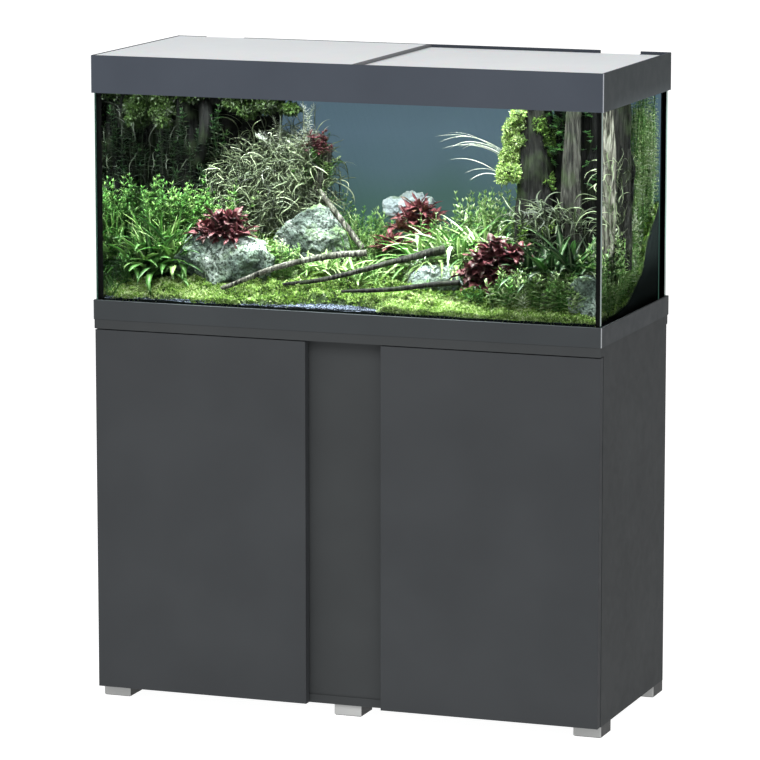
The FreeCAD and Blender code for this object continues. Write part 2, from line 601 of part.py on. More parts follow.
# ---------------------------------------------------------------- hood, lids and lamp
def hood_frame():
    """The rectangular hood: walls, a rest on the glass rim, two lid tracks and two hose notches."""
    made = body("hood_body", ("0", "0", HOOD_FOOT))
    inner_length, inner_depth = "(overall_width - 2 * hood_wall)", "(overall_depth - 2 * hood_wall)"
    walls = sketch(made, "hood_walls", "XY_Plane", [rectangle("overall_width", "overall_depth"),
                                                   rectangle(inner_length, inner_depth)])
    feature(made, "Pad", "hood_walls_pad", walls, "hood_height")
    rest = sketch(made, "hood_rest_outline", "XY_Plane", [
        rectangle(inner_length, inner_depth),
        rectangle(f"{inner_length} - 2 * rest_width", f"{inner_depth} - 2 * rest_width")],
        lift="hood_rest")
    feature(made, "Pad", "hood_rest_pad", rest, "rest_thickness")

    def strips(width):
        return [rectangle(inner_length, width, "0", f"({side}) * ({inner_depth} / 2 - {width} / 2)")
                for side in (-1, 1)]

    track = sketch(made, "hood_track_outline", "XY_Plane", strips("track_width"), lift="track_level")
    feature(made, "Pad", "hood_track_pad", track, "track_thickness")
    step = sketch(made, "hood_step_outline", "XY_Plane", strips("step_width"),
                  lift="track_level + track_thickness")
    feature(made, "Pad", "hood_step_pad", step, "step_height")
    notch_y = "(overall_depth / 2 - hood_wall - track_width / 2)"
    notches = sketch(made, "hood_notches", "XY_Plane", [
        rectangle("notch_width", "2 * hood_wall + track_width + 4",
                  f"({side}) * (overall_width / 2 - notch_inset - notch_width / 2)", notch_y)
        for side in (-1, 1)], lift="hood_height")
    feature(made, "Pocket", "hood_notch_pocket", notches, "notch_depth")
    soften(made, "hood_corners", "corner_radius", upright_corner)
    soften(made, "hood_rim", "edge_radius", top_outline("hood_height"))
    node("hood_frame", made)


def lids():
    """Two sliding lids on two levels: the left one runs over the right one."""
    inner_half = "(overall_width / 2 - hood_wall - lid_play)"
    low = f"{TRACK_TOP} + lid_lift"
    high = f"{TRACK_TOP} + step_height + lid_lift"
    wide = "(overall_depth - 2 * hood_wall - 2 * lid_play)"
    narrow = "(overall_depth - 2 * hood_wall - 2 * step_width - 2 * lid_play)"
    node("left_lid", box("lid_left", (f"-{inner_half}", f"-{wide} / 2", high),
                         (f"{inner_half} + left_lid_end", wide, "lid_thickness")))
    blank = box("profile_blank", ("left_lid_end", f"-{wide} / 2", high),
                ("profile_width", wide, "profile_height"))
    groove = cylinder("profile_groove", "profile_width / 5", wide,
                      ("left_lid_end + profile_width / 2", f"-{wide} / 2", f"{high} + profile_height"),
                      "Y")
    node("left_lid_profile", cut("profile", blank, groove))
    node("right_lid", box("lid_right", ("right_lid_start", f"-{narrow} / 2", low),
                          (f"{inner_half} - right_lid_start", narrow, "lid_thickness")))


def lamp():
    """The LED lamp: an aluminium channel with a board and diffuser, held between the hood's ends."""
    channel = cut("lamp_channel", centred_box("lamp_block", "lamp_length", "lamp_width", "lamp_level",
                                              "lamp_height"),
                  centred_box("lamp_hollow", "lamp_length", "lamp_width - 2 * lamp_wall",
                              "lamp_level", "lamp_height - lamp_wall - 1"))
    fins = [box(f"lamp_fin_{index}", ("-lamp_length / 2",
                f"({index} - 3) * lamp_width / 7 - 1", "lamp_level + lamp_height - 1.5"),
                ("lamp_length", "2", "2")) for index in range(7)]
    node("lamp_housing", cut("lamp_finned", channel, *fins))
    node("lamp_led_board", centred_box("led_board", "lamp_length - 2 * led_inset", "led_width",
         "lamp_level + lamp_height - lamp_wall - 1 - led_thickness", "led_thickness"))
    node("lamp_diffuser", centred_box("lamp_cover", "lamp_length", "lamp_width - 2 * lamp_wall",
                                      "lamp_level", "diffuser"))
    caps, holders = [], []
    for side in (-1, 1):
        tag = "right" if side > 0 else "left"
        cap_x = f"({side}) * (lamp_length / 2 + end_cap / 2) - end_cap / 2"
        caps.append(box(f"cap_{tag}", (cap_x, "-lamp_width / 2", "lamp_level"),
                        ("end_cap", "lamp_width", "lamp_height")))
        length = "(overall_width / 2 - hood_wall - lamp_length / 2 - end_cap)"
        holder_x = f"({side}) * (overall_width / 2 - hood_wall - {length} / 2) - {length} / 2"
        holders.append(box(f"holder_{tag}", (holder_x, "-holder_width / 2",
                           f"{HOOD_FOOT} + hood_rest + rest_thickness"),
                           (length, "holder_width", "holder_height")))
    gland = cylinder("cable_gland", "4", "7", ("-lamp_length / 2 - end_cap / 2", "lamp_width / 2",
                     "lamp_level + lamp_height / 2"), "Y")
    gland_bore = cylinder("cable_gland_bore", "2.2", "8", ("-lamp_length / 2 - end_cap / 2",
                          "lamp_width / 2", "lamp_level + lamp_height / 2"), "Y")
    caps.append(cut("gland", gland, gland_bore))
    node("lamp_end_caps", group("lamp_caps", *caps))
    node("lamp_holders", group("lamp_brackets", *holders))


# ---------------------------------------------------------------- filter and heater
def internal_filter():
    """Canister with a sponge, pump head with impeller, and a dial for the flow."""
    left, front = "(filter_x - filter_length / 2)", "(filter_y - filter_depth / 2)"
    blank = box("canister_blank", (left, front, "filter_bottom"),
                ("filter_length", "filter_depth", "filter_height"))
    hollow = box("canister_hollow", (f"{left} + filter_wall", f"{front} + filter_wall",
                 "filter_bottom + filter_wall"),
                 ("filter_length - 2 * filter_wall", "filter_depth - 2 * filter_wall",
                  "filter_height"))
    slots = [box(f"intake_{index}", ("filter_x - slot_width / 2", f"{front} - 1",
                 f"filter_bottom + 14 + {index} * slot_spacing"),
                 ("slot_width", "filter_wall + 2", "slot_height")) for index in range(10)]
    node("filter_canister", cut("canister", blank, hollow, *slots))
    play = "(filter_wall + 1.5)"
    node("filter_sponge", box("sponge", (f"{left} + {play}", f"{front} + {play}",
         f"filter_bottom + {play}"), (f"filter_length - 2 * {play}", f"filter_depth - 2 * {play}",
         f"filter_height - 2 * {play}")))

    head = body("head_body", ("filter_x", "filter_y", FILTER_TOP))
    outline = sketch(head, "head_outline", "XY_Plane", [rectangle("filter_length", "filter_depth")])
    feature(head, "Pad", "head_pad", outline, "head_height")
    soften(head, "head_corners", "head_corner", upright)
    chamber = cylinder("chamber", "chamber_radius", "chamber_height",
                       ("filter_x", "filter_y", f"{FILTER_TOP} + chamber_level"))
    intake = cylinder("chamber_intake", "impeller_hub", "chamber_level + 2",
                      ("filter_x", "filter_y", f"{FILTER_TOP} - 1"))
    outlet = cylinder("chamber_outlet", "nozzle_bore", "filter_length / 2 + nozzle_length + 4",
                      ("filter_x", "filter_y", f"{FILTER_TOP} + nozzle_level"), "X")
    stem_bore = cylinder("stem_bore", "stem_radius + hinge_play", "stem_length + 0.5",
                         ("filter_x", "filter_y", f"{FILTER_TOP} + head_height - stem_length - 0.5"))
    spout = cylinder("spout", "nozzle_radius", "nozzle_length + 4",
                     ("filter_x + filter_length / 2 - 4", "filter_y",
                      f"{FILTER_TOP} + nozzle_level"), "X")
    hollowed = cut("head_hollowed", fuse("head_solid", head, spout), chamber, intake, outlet, stem_bore)
    axle = cylinder("axle", "axle_radius", "chamber_height",
                    ("filter_x", "filter_y", f"{FILTER_TOP} + chamber_level"))
    node("filter_head", fuse("head", hollowed, cut("axle_top", axle, box(
        "axle_gap", ("filter_x - 5", "filter_y - 5", f"{FILTER_TOP} + chamber_level - 1"),
        ("10", "10", "1.5")))))

    rotor = body("impeller_body", ("filter_x", "filter_y",
                 f"{FILTER_TOP} + chamber_level + (chamber_height - impeller_height) / 2"))
    hub = sketch(rotor, "hub_outline", "XY_Plane",
                 circles=[("0", "0", "impeller_hub"), ("0", "0", "axle_radius + hinge_play")])
    feature(rotor, "Pad", "hub_pad", hub, "impeller_height")
    blade = sketch(rotor, "blade_outline", "XY_Plane", [rectangle(
        "impeller_radius - impeller_hub + 1", "blade_thickness",
        "(impeller_radius + impeller_hub - 1) / 2")])
    blade_pad = feature(rotor, "Pad", "blade_pad", blade, "impeller_height / 2")
    pattern = rotor.newObject("PartDesign::PolarPattern", "blades")
    pattern.Originals = [blade_pad]
    pattern.Axis = (hub, ["N_Axis"])
    pattern.Angle = 360
    pattern.Occurrences = 6
    rotor.Tip = pattern
    node("filter_impeller", rotor)
    node("filter_flow_dial", dial("flow_dial", ("filter_x", "filter_y"),
                                  f"{FILTER_TOP} + head_height", "dial_radius", "dial_height"))


def dial(name, at, level, radius, height):
    """A ribbed knob on a stem: the stem goes down into its seat."""
    made = body(name, (*at, f"{level} + 0.3"))
    disc = sketch(made, name + "_disc", "XY_Plane", circles=[("0", "0", radius)])
    feature(made, "Pad", name + "_disc_pad", disc, height)
    stem = sketch(made, name + "_stem", "XY_Plane", circles=[("0", "0", "stem_radius")])
    feature(made, "Pad", name + "_stem_pad", stem, "stem_length", Reversed=True)
    DOCUMENT.recompute()
    rib = sketch(made, name + "_rib", "XY_Plane", circles=[(radius, "0", f"{radius} / 9")],
                 lift=height)
    flute = feature(made, "Pocket", name + "_flute", rib, height)
    pattern = made.newObject("PartDesign::PolarPattern", name + "_flutes")
    pattern.Originals = [flute]
    pattern.Axis = (disc, ["N_Axis"])
    pattern.Angle = 360
    pattern.Occurrences = 12
    made.Tip = pattern
    return made


def heater():
    """Glass tube with its element, cap with a temperature dial."""
    at = ("heater_x", "heater_y")
    tube = body("tube_body", (*at, "heater_bottom"))
    inner = "(heater_radius - heater_wall)"
    wall = sketch(tube, "tube_section", "XZ_Plane", [[
        ("0", "0"), ("heater_radius", "0"), ("heater_radius", "heater_length"),
        (inner, "heater_length"), (inner, "heater_wall"), ("0", "heater_wall")]])
    turned = tube.newObject("PartDesign::Revolution", "tube_turned")
    turned.Profile = wall
    turned.ReferenceAxis = (wall, ["V_Axis"])
    turned.Angle = 360
    node("heater_tube", tube)
    node("heater_element", cylinder("element", "element_radius", "element_length",
                                    (*at, "heater_bottom + element_lift")))
    cap = cylinder("cap_solid", "heater_cap_radius", "heater_cap_height", (*at, HEATER_TOP))
    stem_bore = cylinder("cap_bore", "stem_radius + hinge_play", "stem_length + 0.5",
                         (*at, f"{HEATER_TOP} + heater_cap_height - stem_length - 0.5"))
    node("heater_cap", cut("cap", cap, stem_bore))
    node("heater_dial", dial("temperature_dial", at, f"{HEATER_TOP} + heater_cap_height",
                             "heater_dial_radius", "heater_dial_height"))


def suction_mounts():
    """Suction cups behind the filter, and the heater's two clips with theirs."""
    glass_face = "(tank_depth / 2 - glass)"
    solids = []
    for tag, x, z in (("a", -1, 25), ("b", 1, 25), ("c", -1, 125), ("d", 1, 125)):
        solids.append(cylinder(f"filter_cup_{tag}", "suction_radius",
                      f"{glass_face} - filter_y - filter_depth / 2",
                      (f"filter_x + ({x}) * filter_length / 4", "filter_y + filter_depth / 2",
                       f"filter_bottom + {z}"), "Y"))
    for tag in ("low", "high"):
        level = f"heater_bottom + clip_{tag}"
        ring = cylinder(f"clip_ring_{tag}", "heater_radius + clip_wall", "clip_height",
                        ("heater_x", "heater_y", level))
        stalk = box(f"clip_stalk_{tag}", ("heater_x - clip_stalk / 2", "heater_y", level),
                    ("clip_stalk", f"{glass_face} - heater_y - clip_disc + 1", "clip_height"))
        disc = cylinder(f"clip_disc_{tag}", "suction_radius + 2", "clip_disc",
                        ("heater_x", f"{glass_face} - clip_disc", f"{level} + clip_height / 2"), "Y")
        seat = cylinder(f"clip_seat_{tag}", "heater_radius + clip_play", "clip_height + 2",
                        ("heater_x", "heater_y", f"{level} - 1"))
        solids.append(cut(f"heater_clip_{tag}", fuse(f"clip_{tag}", ring, stalk, disc), seat))
    node("suction_mounts", group("suckers", *solids))


# ---------------------------------------------------------------- planting
def gravel_bed():
    """The gravel bed: a sloping bed over the whole floor, banked up at both back corners."""
    half_length, half_depth = ("(tank_length / 2 - glass - bed_inset)",
                               "(tank_depth / 2 - glass - bed_inset)")
    bed = body("bed_body", (f"-{half_length}", "0", BED_FOOT))
    outline = sketch(bed, "bed_section", "YZ_Plane", [[
        (f"-{half_depth}", "0"), (half_depth, "0"), (half_depth, "bed_back"),
        ("bed_middle_y", "bed_middle"), (f"-{half_depth}", "bed_front")]])
    feature(bed, "Pad", "bed_pad", outline, f"2 * {half_length}")
    return node("gravel_bed", fuse("gravel", bed, *[block(name) for name in BANKS]))


def wood(name):
    """One piece of driftwood: a smooth tapering stem through its points."""
    points = [Vector(*point[:3]) for point in WOOD[name]]
    rings = []
    for index, point in enumerate(points):
        along = points[min(index + 1, len(points) - 1)] - points[max(index - 1, 0)]
        ring = DOCUMENT.addObject("Part::Circle", f"{name}_ring_{index}")
        bind(ring, Radius=f"{name}_{index}_radius")
        ring.Placement = Placement(Vector(), Rotation(Vector(0, 0, 1), along))
        rings.append(put(ring, [f"{name}_{index}_{axis}" for axis in "xyz"]))
    stem = DOCUMENT.addObject("Part::Loft", name)
    stem.Sections = rings
    stem.Solid = True
    return stem


def planting(bed):
    """Rocks, driftwood, moss and plants, each cut to what it stands on."""
    def standing(names, *tools):
        return [cut(name + "_standing", block(name), bed, *tools) for name in names]

    rocks = standing(ROCKS)
    node("rocks", group("all_rocks", *rocks))
    left = fuse("wood_left", wood("trunk_left"), wood("root_left"))
    node("driftwood_left", cut("driftwood_left_standing", left, bed))
    right = group("wood_right", *[cut(name + "_standing", wood(name), bed)
                                  for name in ("trunk_right", "trunk_thin", "trunk_back")])
    node("driftwood_right", right)
    ground_moss = standing([name for name in MOSS if name != "moss_trunk"], *rocks)
    trunk_moss = cut("moss_on_trunk", block("moss_trunk"), right)
    node("moss", group("all_moss", *ground_moss, trunk_moss))
    branches = [cut(name + "_lying", wood(name), bed, *ground_moss)
                for name in ("branch_left", "branch_middle", "branch_front")]
    node("branches", group("all_branches", *branches))
    node("red_plants", group("all_red_plants", *standing(RED_PLANTS)))
    node("leaf_plants_left", group("left_leaves", *standing(LEAVES_LEFT)))
    node("leaf_plants_right", group("right_leaves", *standing(LEAVES_RIGHT)))
    node("grass_plants", group("tall_grass", *standing(GRASS)))


# ---------------------------------------------------------------- build, check and write
def build():
    boards()
    shelf()
    feet()
    door("left_door", -1)
    door("right_door", 1)
    hinges()
    door_bumpers()
    bottom_frame()
    panes()
    silicone()
    hood_frame()
    lids()
    lamp()
    internal_filter()
    heater()
    suction_mounts()
    planting(gravel_bed())
    DOCUMENT.recompute()


def faults():
    """What failed to compute, or isn't a valid closed shape."""
    found = [f"{thing.Label}: {thing.State}" for thing in DOCUMENT.Objects
             if {"Invalid", "Error"} & set(thing.State)]
    for thing in nodes:
        if thing.Shape.isNull() or not thing.Shape.isValid() or not thing.Shape.Solids:
            found.append(f"{thing.Label}: its shape is null, invalid or not solid")
    return found


def write():
    os.makedirs("parts", exist_ok=True)
    for name in os.listdir("parts"):
        if name.endswith(".step"):
            os.remove(os.path.join("parts", name))
    for thing in nodes:
        thing.Shape.exportStep(f"parts/{thing.Label}.step")
        print(f"{thing.Label}: {len(thing.Shape.Solids)} solids, {thing.Shape.Volume / 1000:.1f} cm3")
    print(f"{len(nodes)} sub-parts")


build()
problems = faults()
if problems:
    sys.exit("\n".join(problems))
write()
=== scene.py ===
import itertools
import math

import bmesh
import bpy
import numpy as np
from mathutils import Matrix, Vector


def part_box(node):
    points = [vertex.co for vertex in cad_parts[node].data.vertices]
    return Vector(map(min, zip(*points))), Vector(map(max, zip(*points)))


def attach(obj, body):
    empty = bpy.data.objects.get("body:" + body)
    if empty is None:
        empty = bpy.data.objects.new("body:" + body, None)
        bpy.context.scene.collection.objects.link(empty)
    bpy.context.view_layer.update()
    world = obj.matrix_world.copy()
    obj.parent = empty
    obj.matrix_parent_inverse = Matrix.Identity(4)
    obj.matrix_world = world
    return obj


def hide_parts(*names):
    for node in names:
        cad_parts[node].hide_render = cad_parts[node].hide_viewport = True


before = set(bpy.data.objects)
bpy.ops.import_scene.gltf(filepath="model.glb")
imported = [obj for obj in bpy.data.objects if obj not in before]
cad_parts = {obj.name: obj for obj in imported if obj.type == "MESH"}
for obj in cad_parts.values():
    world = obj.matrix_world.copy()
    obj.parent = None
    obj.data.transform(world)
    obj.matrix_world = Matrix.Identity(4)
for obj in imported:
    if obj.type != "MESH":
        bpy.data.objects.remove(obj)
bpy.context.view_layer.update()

MM = 0.001
TANK = "stand_and_tank"
# Degrees from one leaf of a rosette to the next, and the share of a bush's leaves that are gone.
GOLDEN_TURN = 137.5
MISSING_LEAVES = 0.12


# ---------------------------------------------------------------- places read from the frame
def node_box(name):
    """A CAD node's lowest and highest corners, in millimetres."""
    low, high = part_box(name)
    return np.array(low) / MM, np.array(high) / MM


BED_LOW, BED_HIGH = node_box("gravel_bed")
FRAME_TOP = node_box("bottom_frame")[1][2]
BRACE_UNDER = node_box("glass_braces")[0][2]
CLEAR = 3.0
# The room for the aquascape: from the soil's lowest corner to just under the braces.
WATER_LOW = BED_LOW
WATER_HIGH = np.array([BED_HIGH[0], BED_HIGH[1], BRACE_UNDER - CLEAR])


def smooth_step(value, start, end):
    """Rises smoothly from 0 at start to 1 at end."""
    share = np.clip((value - start) / (end - start), 0, 1)
    return share * share * (3 - 2 * share)


def ground(x, y):
    """The height of the soil: low along the front, a valley in the middle, a bank on each side."""
    x, y = np.asarray(x, float), np.asarray(y, float)
    front = FRAME_TOP + 3
    valley = np.interp(y, (-200, -60, 60, 200), (front, front + 14, front + 38, front + 66))
    left = np.interp(y, (-200, -120, -30, 60, 200),
                     (front, front + 10, front + 50, front + 112, front + 150))
    right = np.interp(y, (-200, -120, -30, 60, 200),
                      (front, front + 8, front + 30, front + 70, front + 120))
    side = np.interp(y, (-156, -73, 5, 91, 125, 173, 200),
                     (front, front + 3, front + 14, front + 58, front + 112, front + 152,
                      front + 176))
    height = valley + (left - valley) * smooth_step(-x, 70, 260)
    height = height + (right - valley) * smooth_step(x, 90, 330)
    return height + (side - right) * smooth_step(x, 420, 488)


# ---------------------------------------------------------------- numbers for natural shapes
def lattice_noise(points, cell, seed, octaves):
    """Smooth noise from about -1 to 1 at each point. cell is the size of the widest bumps."""
    points = np.asarray(points, float) / cell
    total, weight = np.zeros(len(points)), 0.0
    for octave in range(octaves):
        scaled = points * 2 ** octave + 17.3 * octave
        corner = np.floor(scaled).astype(np.int64)
        share = scaled - corner
        share = share * share * (3 - 2 * share)
        value = np.zeros(len(points))
        for step in itertools.product((0, 1), repeat=3):
            cx, cy, cz = (corner + step).T
            key = (cx * 73856093) ^ (cy * 19349663) ^ (cz * 83492791) ^ (seed * 2654435 + octave)
            key = ((key ^ (key >> 13)) * 1274126177) & 0xFFFFFF
            nearness = np.where(step, share, 1 - share).prod(1)
            value += nearness * (key / 0x7FFFFF - 1)
        total += value * 0.5 ** octave
        weight += 0.5 ** octave
    return total / weight


def unit(vectors):
    """The vectors, each scaled to length 1."""
    return vectors / np.maximum(np.linalg.norm(vectors, axis=-1, keepdims=True), 1e-9)


def column(values, count):
    """One value, or one for each of count leaves, as a column."""
    return np.broadcast_to(np.asarray(values, float), (count,))[:, None]


def within(rng, count, *spans):
    """count random rows, with one column for each span's lowest and highest value."""
    return np.column_stack([rng.uniform(*span, count) for span in spans])


def curve_through(stations, count):
    """count points of a smooth curve through the rows of stations."""
    rows = np.asarray(stations, float)
    rows = np.vstack([2 * rows[0] - rows[1], rows, 2 * rows[-1] - rows[-2]])
    place = np.linspace(0, len(rows) - 3, count)
    first = np.minimum(place.astype(int), len(rows) - 4)
    t = (place - first)[:, None]
    a, b, c, d = (rows[first + step] for step in range(4))
    return 0.5 * (2 * b + (c - a) * t + (2 * a - 5 * b + 4 * c - d) * t ** 2
                  + (3 * b - a - 3 * c + d) * t ** 3)


# ---------------------------------------------------------------- meshes
class Batch:
    """Points, faces and marks gathered into one mesh. A point's marks are its leaf's tint, how
    far along the leaf it is, and how far across."""

    def __init__(self):
        self.points, self.faces, self.marks, self.count = [], [], [], 0

    def add(self, points, faces, marks=(0.5, 0.5, 0.5)):
        points = np.asarray(points, float).reshape(-1, 3)
        self.points.append(points)
        self.faces += [np.asarray(some) + self.count for some in faces]
        self.marks.append(np.broadcast_to(np.asarray(marks, float), points.shape))
        self.count += len(points)

    def piece(self, name, slot, *replaced, rooted=False):
        """Makes the batch a mesh piece that rides on the tank, in the look of a material slot. It
        is kept inside the tank, and a rooted piece above the soil."""
        points = np.clip(np.vstack(self.points), WATER_LOW, WATER_HIGH)
        if rooted:
            points[:, 2] = np.maximum(points[:, 2], ground(points[:, 0], points[:, 1]) + 1)
        made = mesh_object(name, points, self.faces)
        marks = made.data.attributes.new("leaf", "FLOAT_VECTOR", "POINT")
        marks.data.foreach_set("vector", np.vstack(self.marks).astype(np.float32).ravel())
        made.data.materials.append(look(slot))
        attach(made, TANK)
        if replaced:
            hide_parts(*replaced)


def mesh_object(name, points, faces):
    """A smooth-shaded mesh object. faces is a list of arrays, each of quads or of triangles."""
    mesh = bpy.data.meshes.new(name)
    mesh.vertices.add(len(points))
    mesh.vertices.foreach_set("co", (np.asarray(points) * MM).astype(np.float32).ravel())
    corners = np.concatenate([some.ravel() for some in faces]).astype(np.int32)
    sides = np.concatenate([np.full(len(some), some.shape[1]) for some in faces])
    mesh.loops.add(len(corners))
    mesh.loops.foreach_set("vertex_index", corners)
    mesh.polygons.add(len(sides))
    starts = np.concatenate([[0], np.cumsum(sides)[:-1]]).astype(np.int32)
    mesh.polygons.foreach_set("loop_start", starts)
    mesh.polygons.foreach_set("use_smooth", np.ones(len(sides), bool))
    mesh.update(calc_edges=True)
    mesh.validate()
    made = bpy.data.objects.new(name, mesh)
    bpy.context.scene.collection.objects.link(made)
    return made


def tube_faces(rows, around):
    """Quads joining rows of around points each, and the polygons that close the two ends."""
    first, second = np.meshgrid(np.arange(rows - 1), np.arange(around), indexing="ij")
    here = first * around + second
    beside = first * around + (second + 1) % around
    quads = np.stack([here, beside, beside + around, here + around], -1).reshape(-1, 4)
    foot = np.arange(around)[::-1][None]
    return [quads, foot, foot[:, ::-1] + (rows - 1) * around]


def grid(x_line, y_line):
    """A grid's x and y values, the index of each of its points, and its quads."""
    x, y = np.meshgrid(x_line, y_line, indexing="ij")
    index = np.arange(x.size).reshape(x.shape)
    quads = np.stack([index[:-1, :-1], index[1:, :-1], index[1:, 1:], index[:-1, 1:]], -1)
    return x.ravel(), y.ravel(), index, quads.reshape(-1, 4)


def ball(detail):
    """Points on a unit sphere and its triangles."""
    made = bmesh.new()
    bmesh.ops.create_icosphere(made, subdivisions=detail, radius=1)
    points = np.array([vertex.co for vertex in made.verts])
    faces = np.array([[vertex.index for vertex in face.verts] for face in made.faces])
    made.free()
    return points, faces


# ---------------------------------------------------------------- leaves, stems and moss
# A leaf's width, as a share of its greatest, at each share t of its length.
SHAPES = {
    "lance": lambda t: np.sin(math.pi * t ** 0.75) ** 0.8,
    "ribbon": lambda t: np.minimum(t * 7 + 0.25, 1) * (1 - t ** 4) ** 0.8,
    "spoon": lambda t: 0.1 + 0.9 * np.sin(math.pi * np.clip((t - 0.22) / 0.78, 0, 1) ** 0.8) ** 0.8,
    "oval": lambda t: np.sin(math.pi * t ** 0.8) ** 0.55,
    "stem": lambda t: 1 - 0.5 * t,
}


def spines(rng, roots, azimuth, lean, bend, length, segments, sway):
    """Curved centrelines that start at the roots: their points, headings and angles from the
    vertical. They set off at lean degrees and have turned by bend more at the tip."""
    roots = np.atleast_2d(np.asarray(roots, float))
    count = len(roots)
    along = np.linspace(0, 1, segments + 1)[None]
    waves, phase = rng.uniform(0.5, 1.3, (count, 1)), rng.uniform(0, 2 * math.pi, (count, 1))
    wander = np.sin(2 * math.pi * along * waves + phase)
    lift = np.cos(2 * math.pi * along * waves * 0.8 + phase)
    angle = np.radians(column(lean, count) + column(bend, count) * along ** 1.3
                       + column(sway, count) * lift * 0.4)
    heading = np.radians(column(azimuth, count) + column(sway, count) * wander)
    step = np.stack([np.sin(angle) * np.cos(heading), np.sin(angle) * np.sin(heading),
                     np.cos(angle)], -1) * (column(length, count) / segments)[..., None]
    points = roots[:, None] + np.cumsum(step, 1) - step
    return points, heading, angle


def leaf_surface(rng, line, width, tint, shape, fold=0.25, wave=0.0, twist=0.0, slim=False):
    """Closed leaves along centrelines, folded at the midrib: points, faces and marks for a batch.
    Slim leaves have three sides, the others four."""
    points, heading, angle = line
    count, rows = points.shape[:2]
    along = np.linspace(0, 1, rows)[None]
    half = column(width, count) / 2 * np.maximum(SHAPES[shape](along), 0.06)
    flat = np.zeros_like(heading)
    side = np.stack([-np.sin(heading), np.cos(heading), flat], -1)
    upper = np.stack([-np.cos(angle) * np.cos(heading), -np.cos(angle) * np.sin(heading),
                      np.sin(angle)], -1)
    turn = column(twist, count) * rng.uniform(-1, 1, (count, 1))
    roll = np.radians(turn * along)[..., None]
    side, upper = (side * np.cos(roll) + upper * np.sin(roll),
                   upper * np.cos(roll) - side * np.sin(roll))
    ripple = wave * np.sin(9 * along + rng.uniform(0, 6, (count, 1)))
    rim = [side * (half * sign)[..., None] + upper * (half * (fold + sign * ripple))[..., None]
           for sign in (-1, 1)]
    thickness = np.minimum(half * 0.25, 0.6)[..., None]
    ring = [(points + rim[0], 1), (points + upper * thickness * 0.2, 0), (points + rim[1], 1),
            (points - upper * thickness, 0)]
    if slim:
        del ring[1]
    places = np.stack([place for place, _ in ring], 2)
    around = len(ring)
    offsets = (np.arange(count) * rows * around)[:, None, None]
    faces = [(some[None] + offsets).reshape(-1, some.shape[1]) for some in tube_faces(rows, around)]
    marks = np.zeros(places.shape)
    marks[..., 0] = column(tint, count)[..., None]
    marks[..., 1] = along[..., None]
    marks[..., 2] = [across for _, across in ring]
    return places.reshape(-1, 3), faces, marks.reshape(-1, 3)


def leaves(rng, roots, azimuth, lean, bend, length, width, tint, shape, segments, fold, sway=0.0,
           wave=0.0, twist=0.0, slim=False):
    """Leaves that grow from the roots, as leaf_surface() makes them along spines()."""
    line = spines(rng, roots, azimuth, lean, bend, length, segments, sway)
    return leaf_surface(rng, line, width, tint, shape, fold, wave, twist, slim)


def leaflets(rng, roots, directions, length, width, tint):
    """Small folded leaves of two faces each, for moss and carpets."""
    count = len(roots)
    directions = unit(directions)
    side = unit(np.cross(directions, rng.normal(size=(count, 3))))
    upper = np.cross(side, directions)
    long, wide = column(length, count), column(width, count) / 2
    middle = roots + directions * long * 0.55
    points = np.stack([roots, middle - side * wide + upper * wide * 0.4, roots + directions * long,
                       middle + side * wide + upper * wide * 0.4, middle - upper * wide * 0.35], 1)
    pattern = np.array([[0, 1, 2, 4], [0, 4, 2, 3]])
    faces = (pattern[None] + (np.arange(count) * 5)[:, None, None]).reshape(-1, 4)
    marks = np.zeros((count, 5, 3))
    marks[..., 0] = column(tint, count)
    marks[..., 1] = (0, 0.6, 1, 0.6, 0.6)
    marks[..., 2] = (0, 1, 0, 1, 0)
    return points.reshape(-1, 3), [faces], marks.reshape(-1, 3)


def scatter(rng, count, centre, spread):
    """Roots on the soil, spread round a centre x, y."""
    places = np.array(centre) + rng.uniform(-1, 1, (count, 2)) * np.array(spread)
    return np.column_stack([places, ground(*places.T) - 2])


def rosette(batch, rng, centre, count, length, width, tint, lean, bend, shape="lance", segments=8,
            wave=0.08):
    """Leaves that spread from one crown; the outer ones lean out most."""
    order = np.sqrt(np.linspace(0, 1, count))
    turn = np.arange(count) * GOLDEN_TURN + rng.uniform(0, 360)
    roots = np.array(centre) + rng.normal(0, 2.0, (count, 3)) * (1, 1, 0.3)
    size = rng.uniform(0.8, 1.1, count) * np.interp(order, (0, 0.4, 1), (0.6, 1, 0.95))
    batch.add(*leaves(rng, roots, turn + rng.normal(0, 12, count),
                      np.interp(order, (0, 1), lean) + rng.normal(0, 5, count),
                      np.interp(order, (0, 1), bend) + rng.normal(0, 8, count),
                      length * size, width * rng.uniform(0.8, 1.15, count),
                      rng.uniform(*tint, count), shape, segments, fold=0.3, sway=6.0, wave=wave,
                      twist=25))


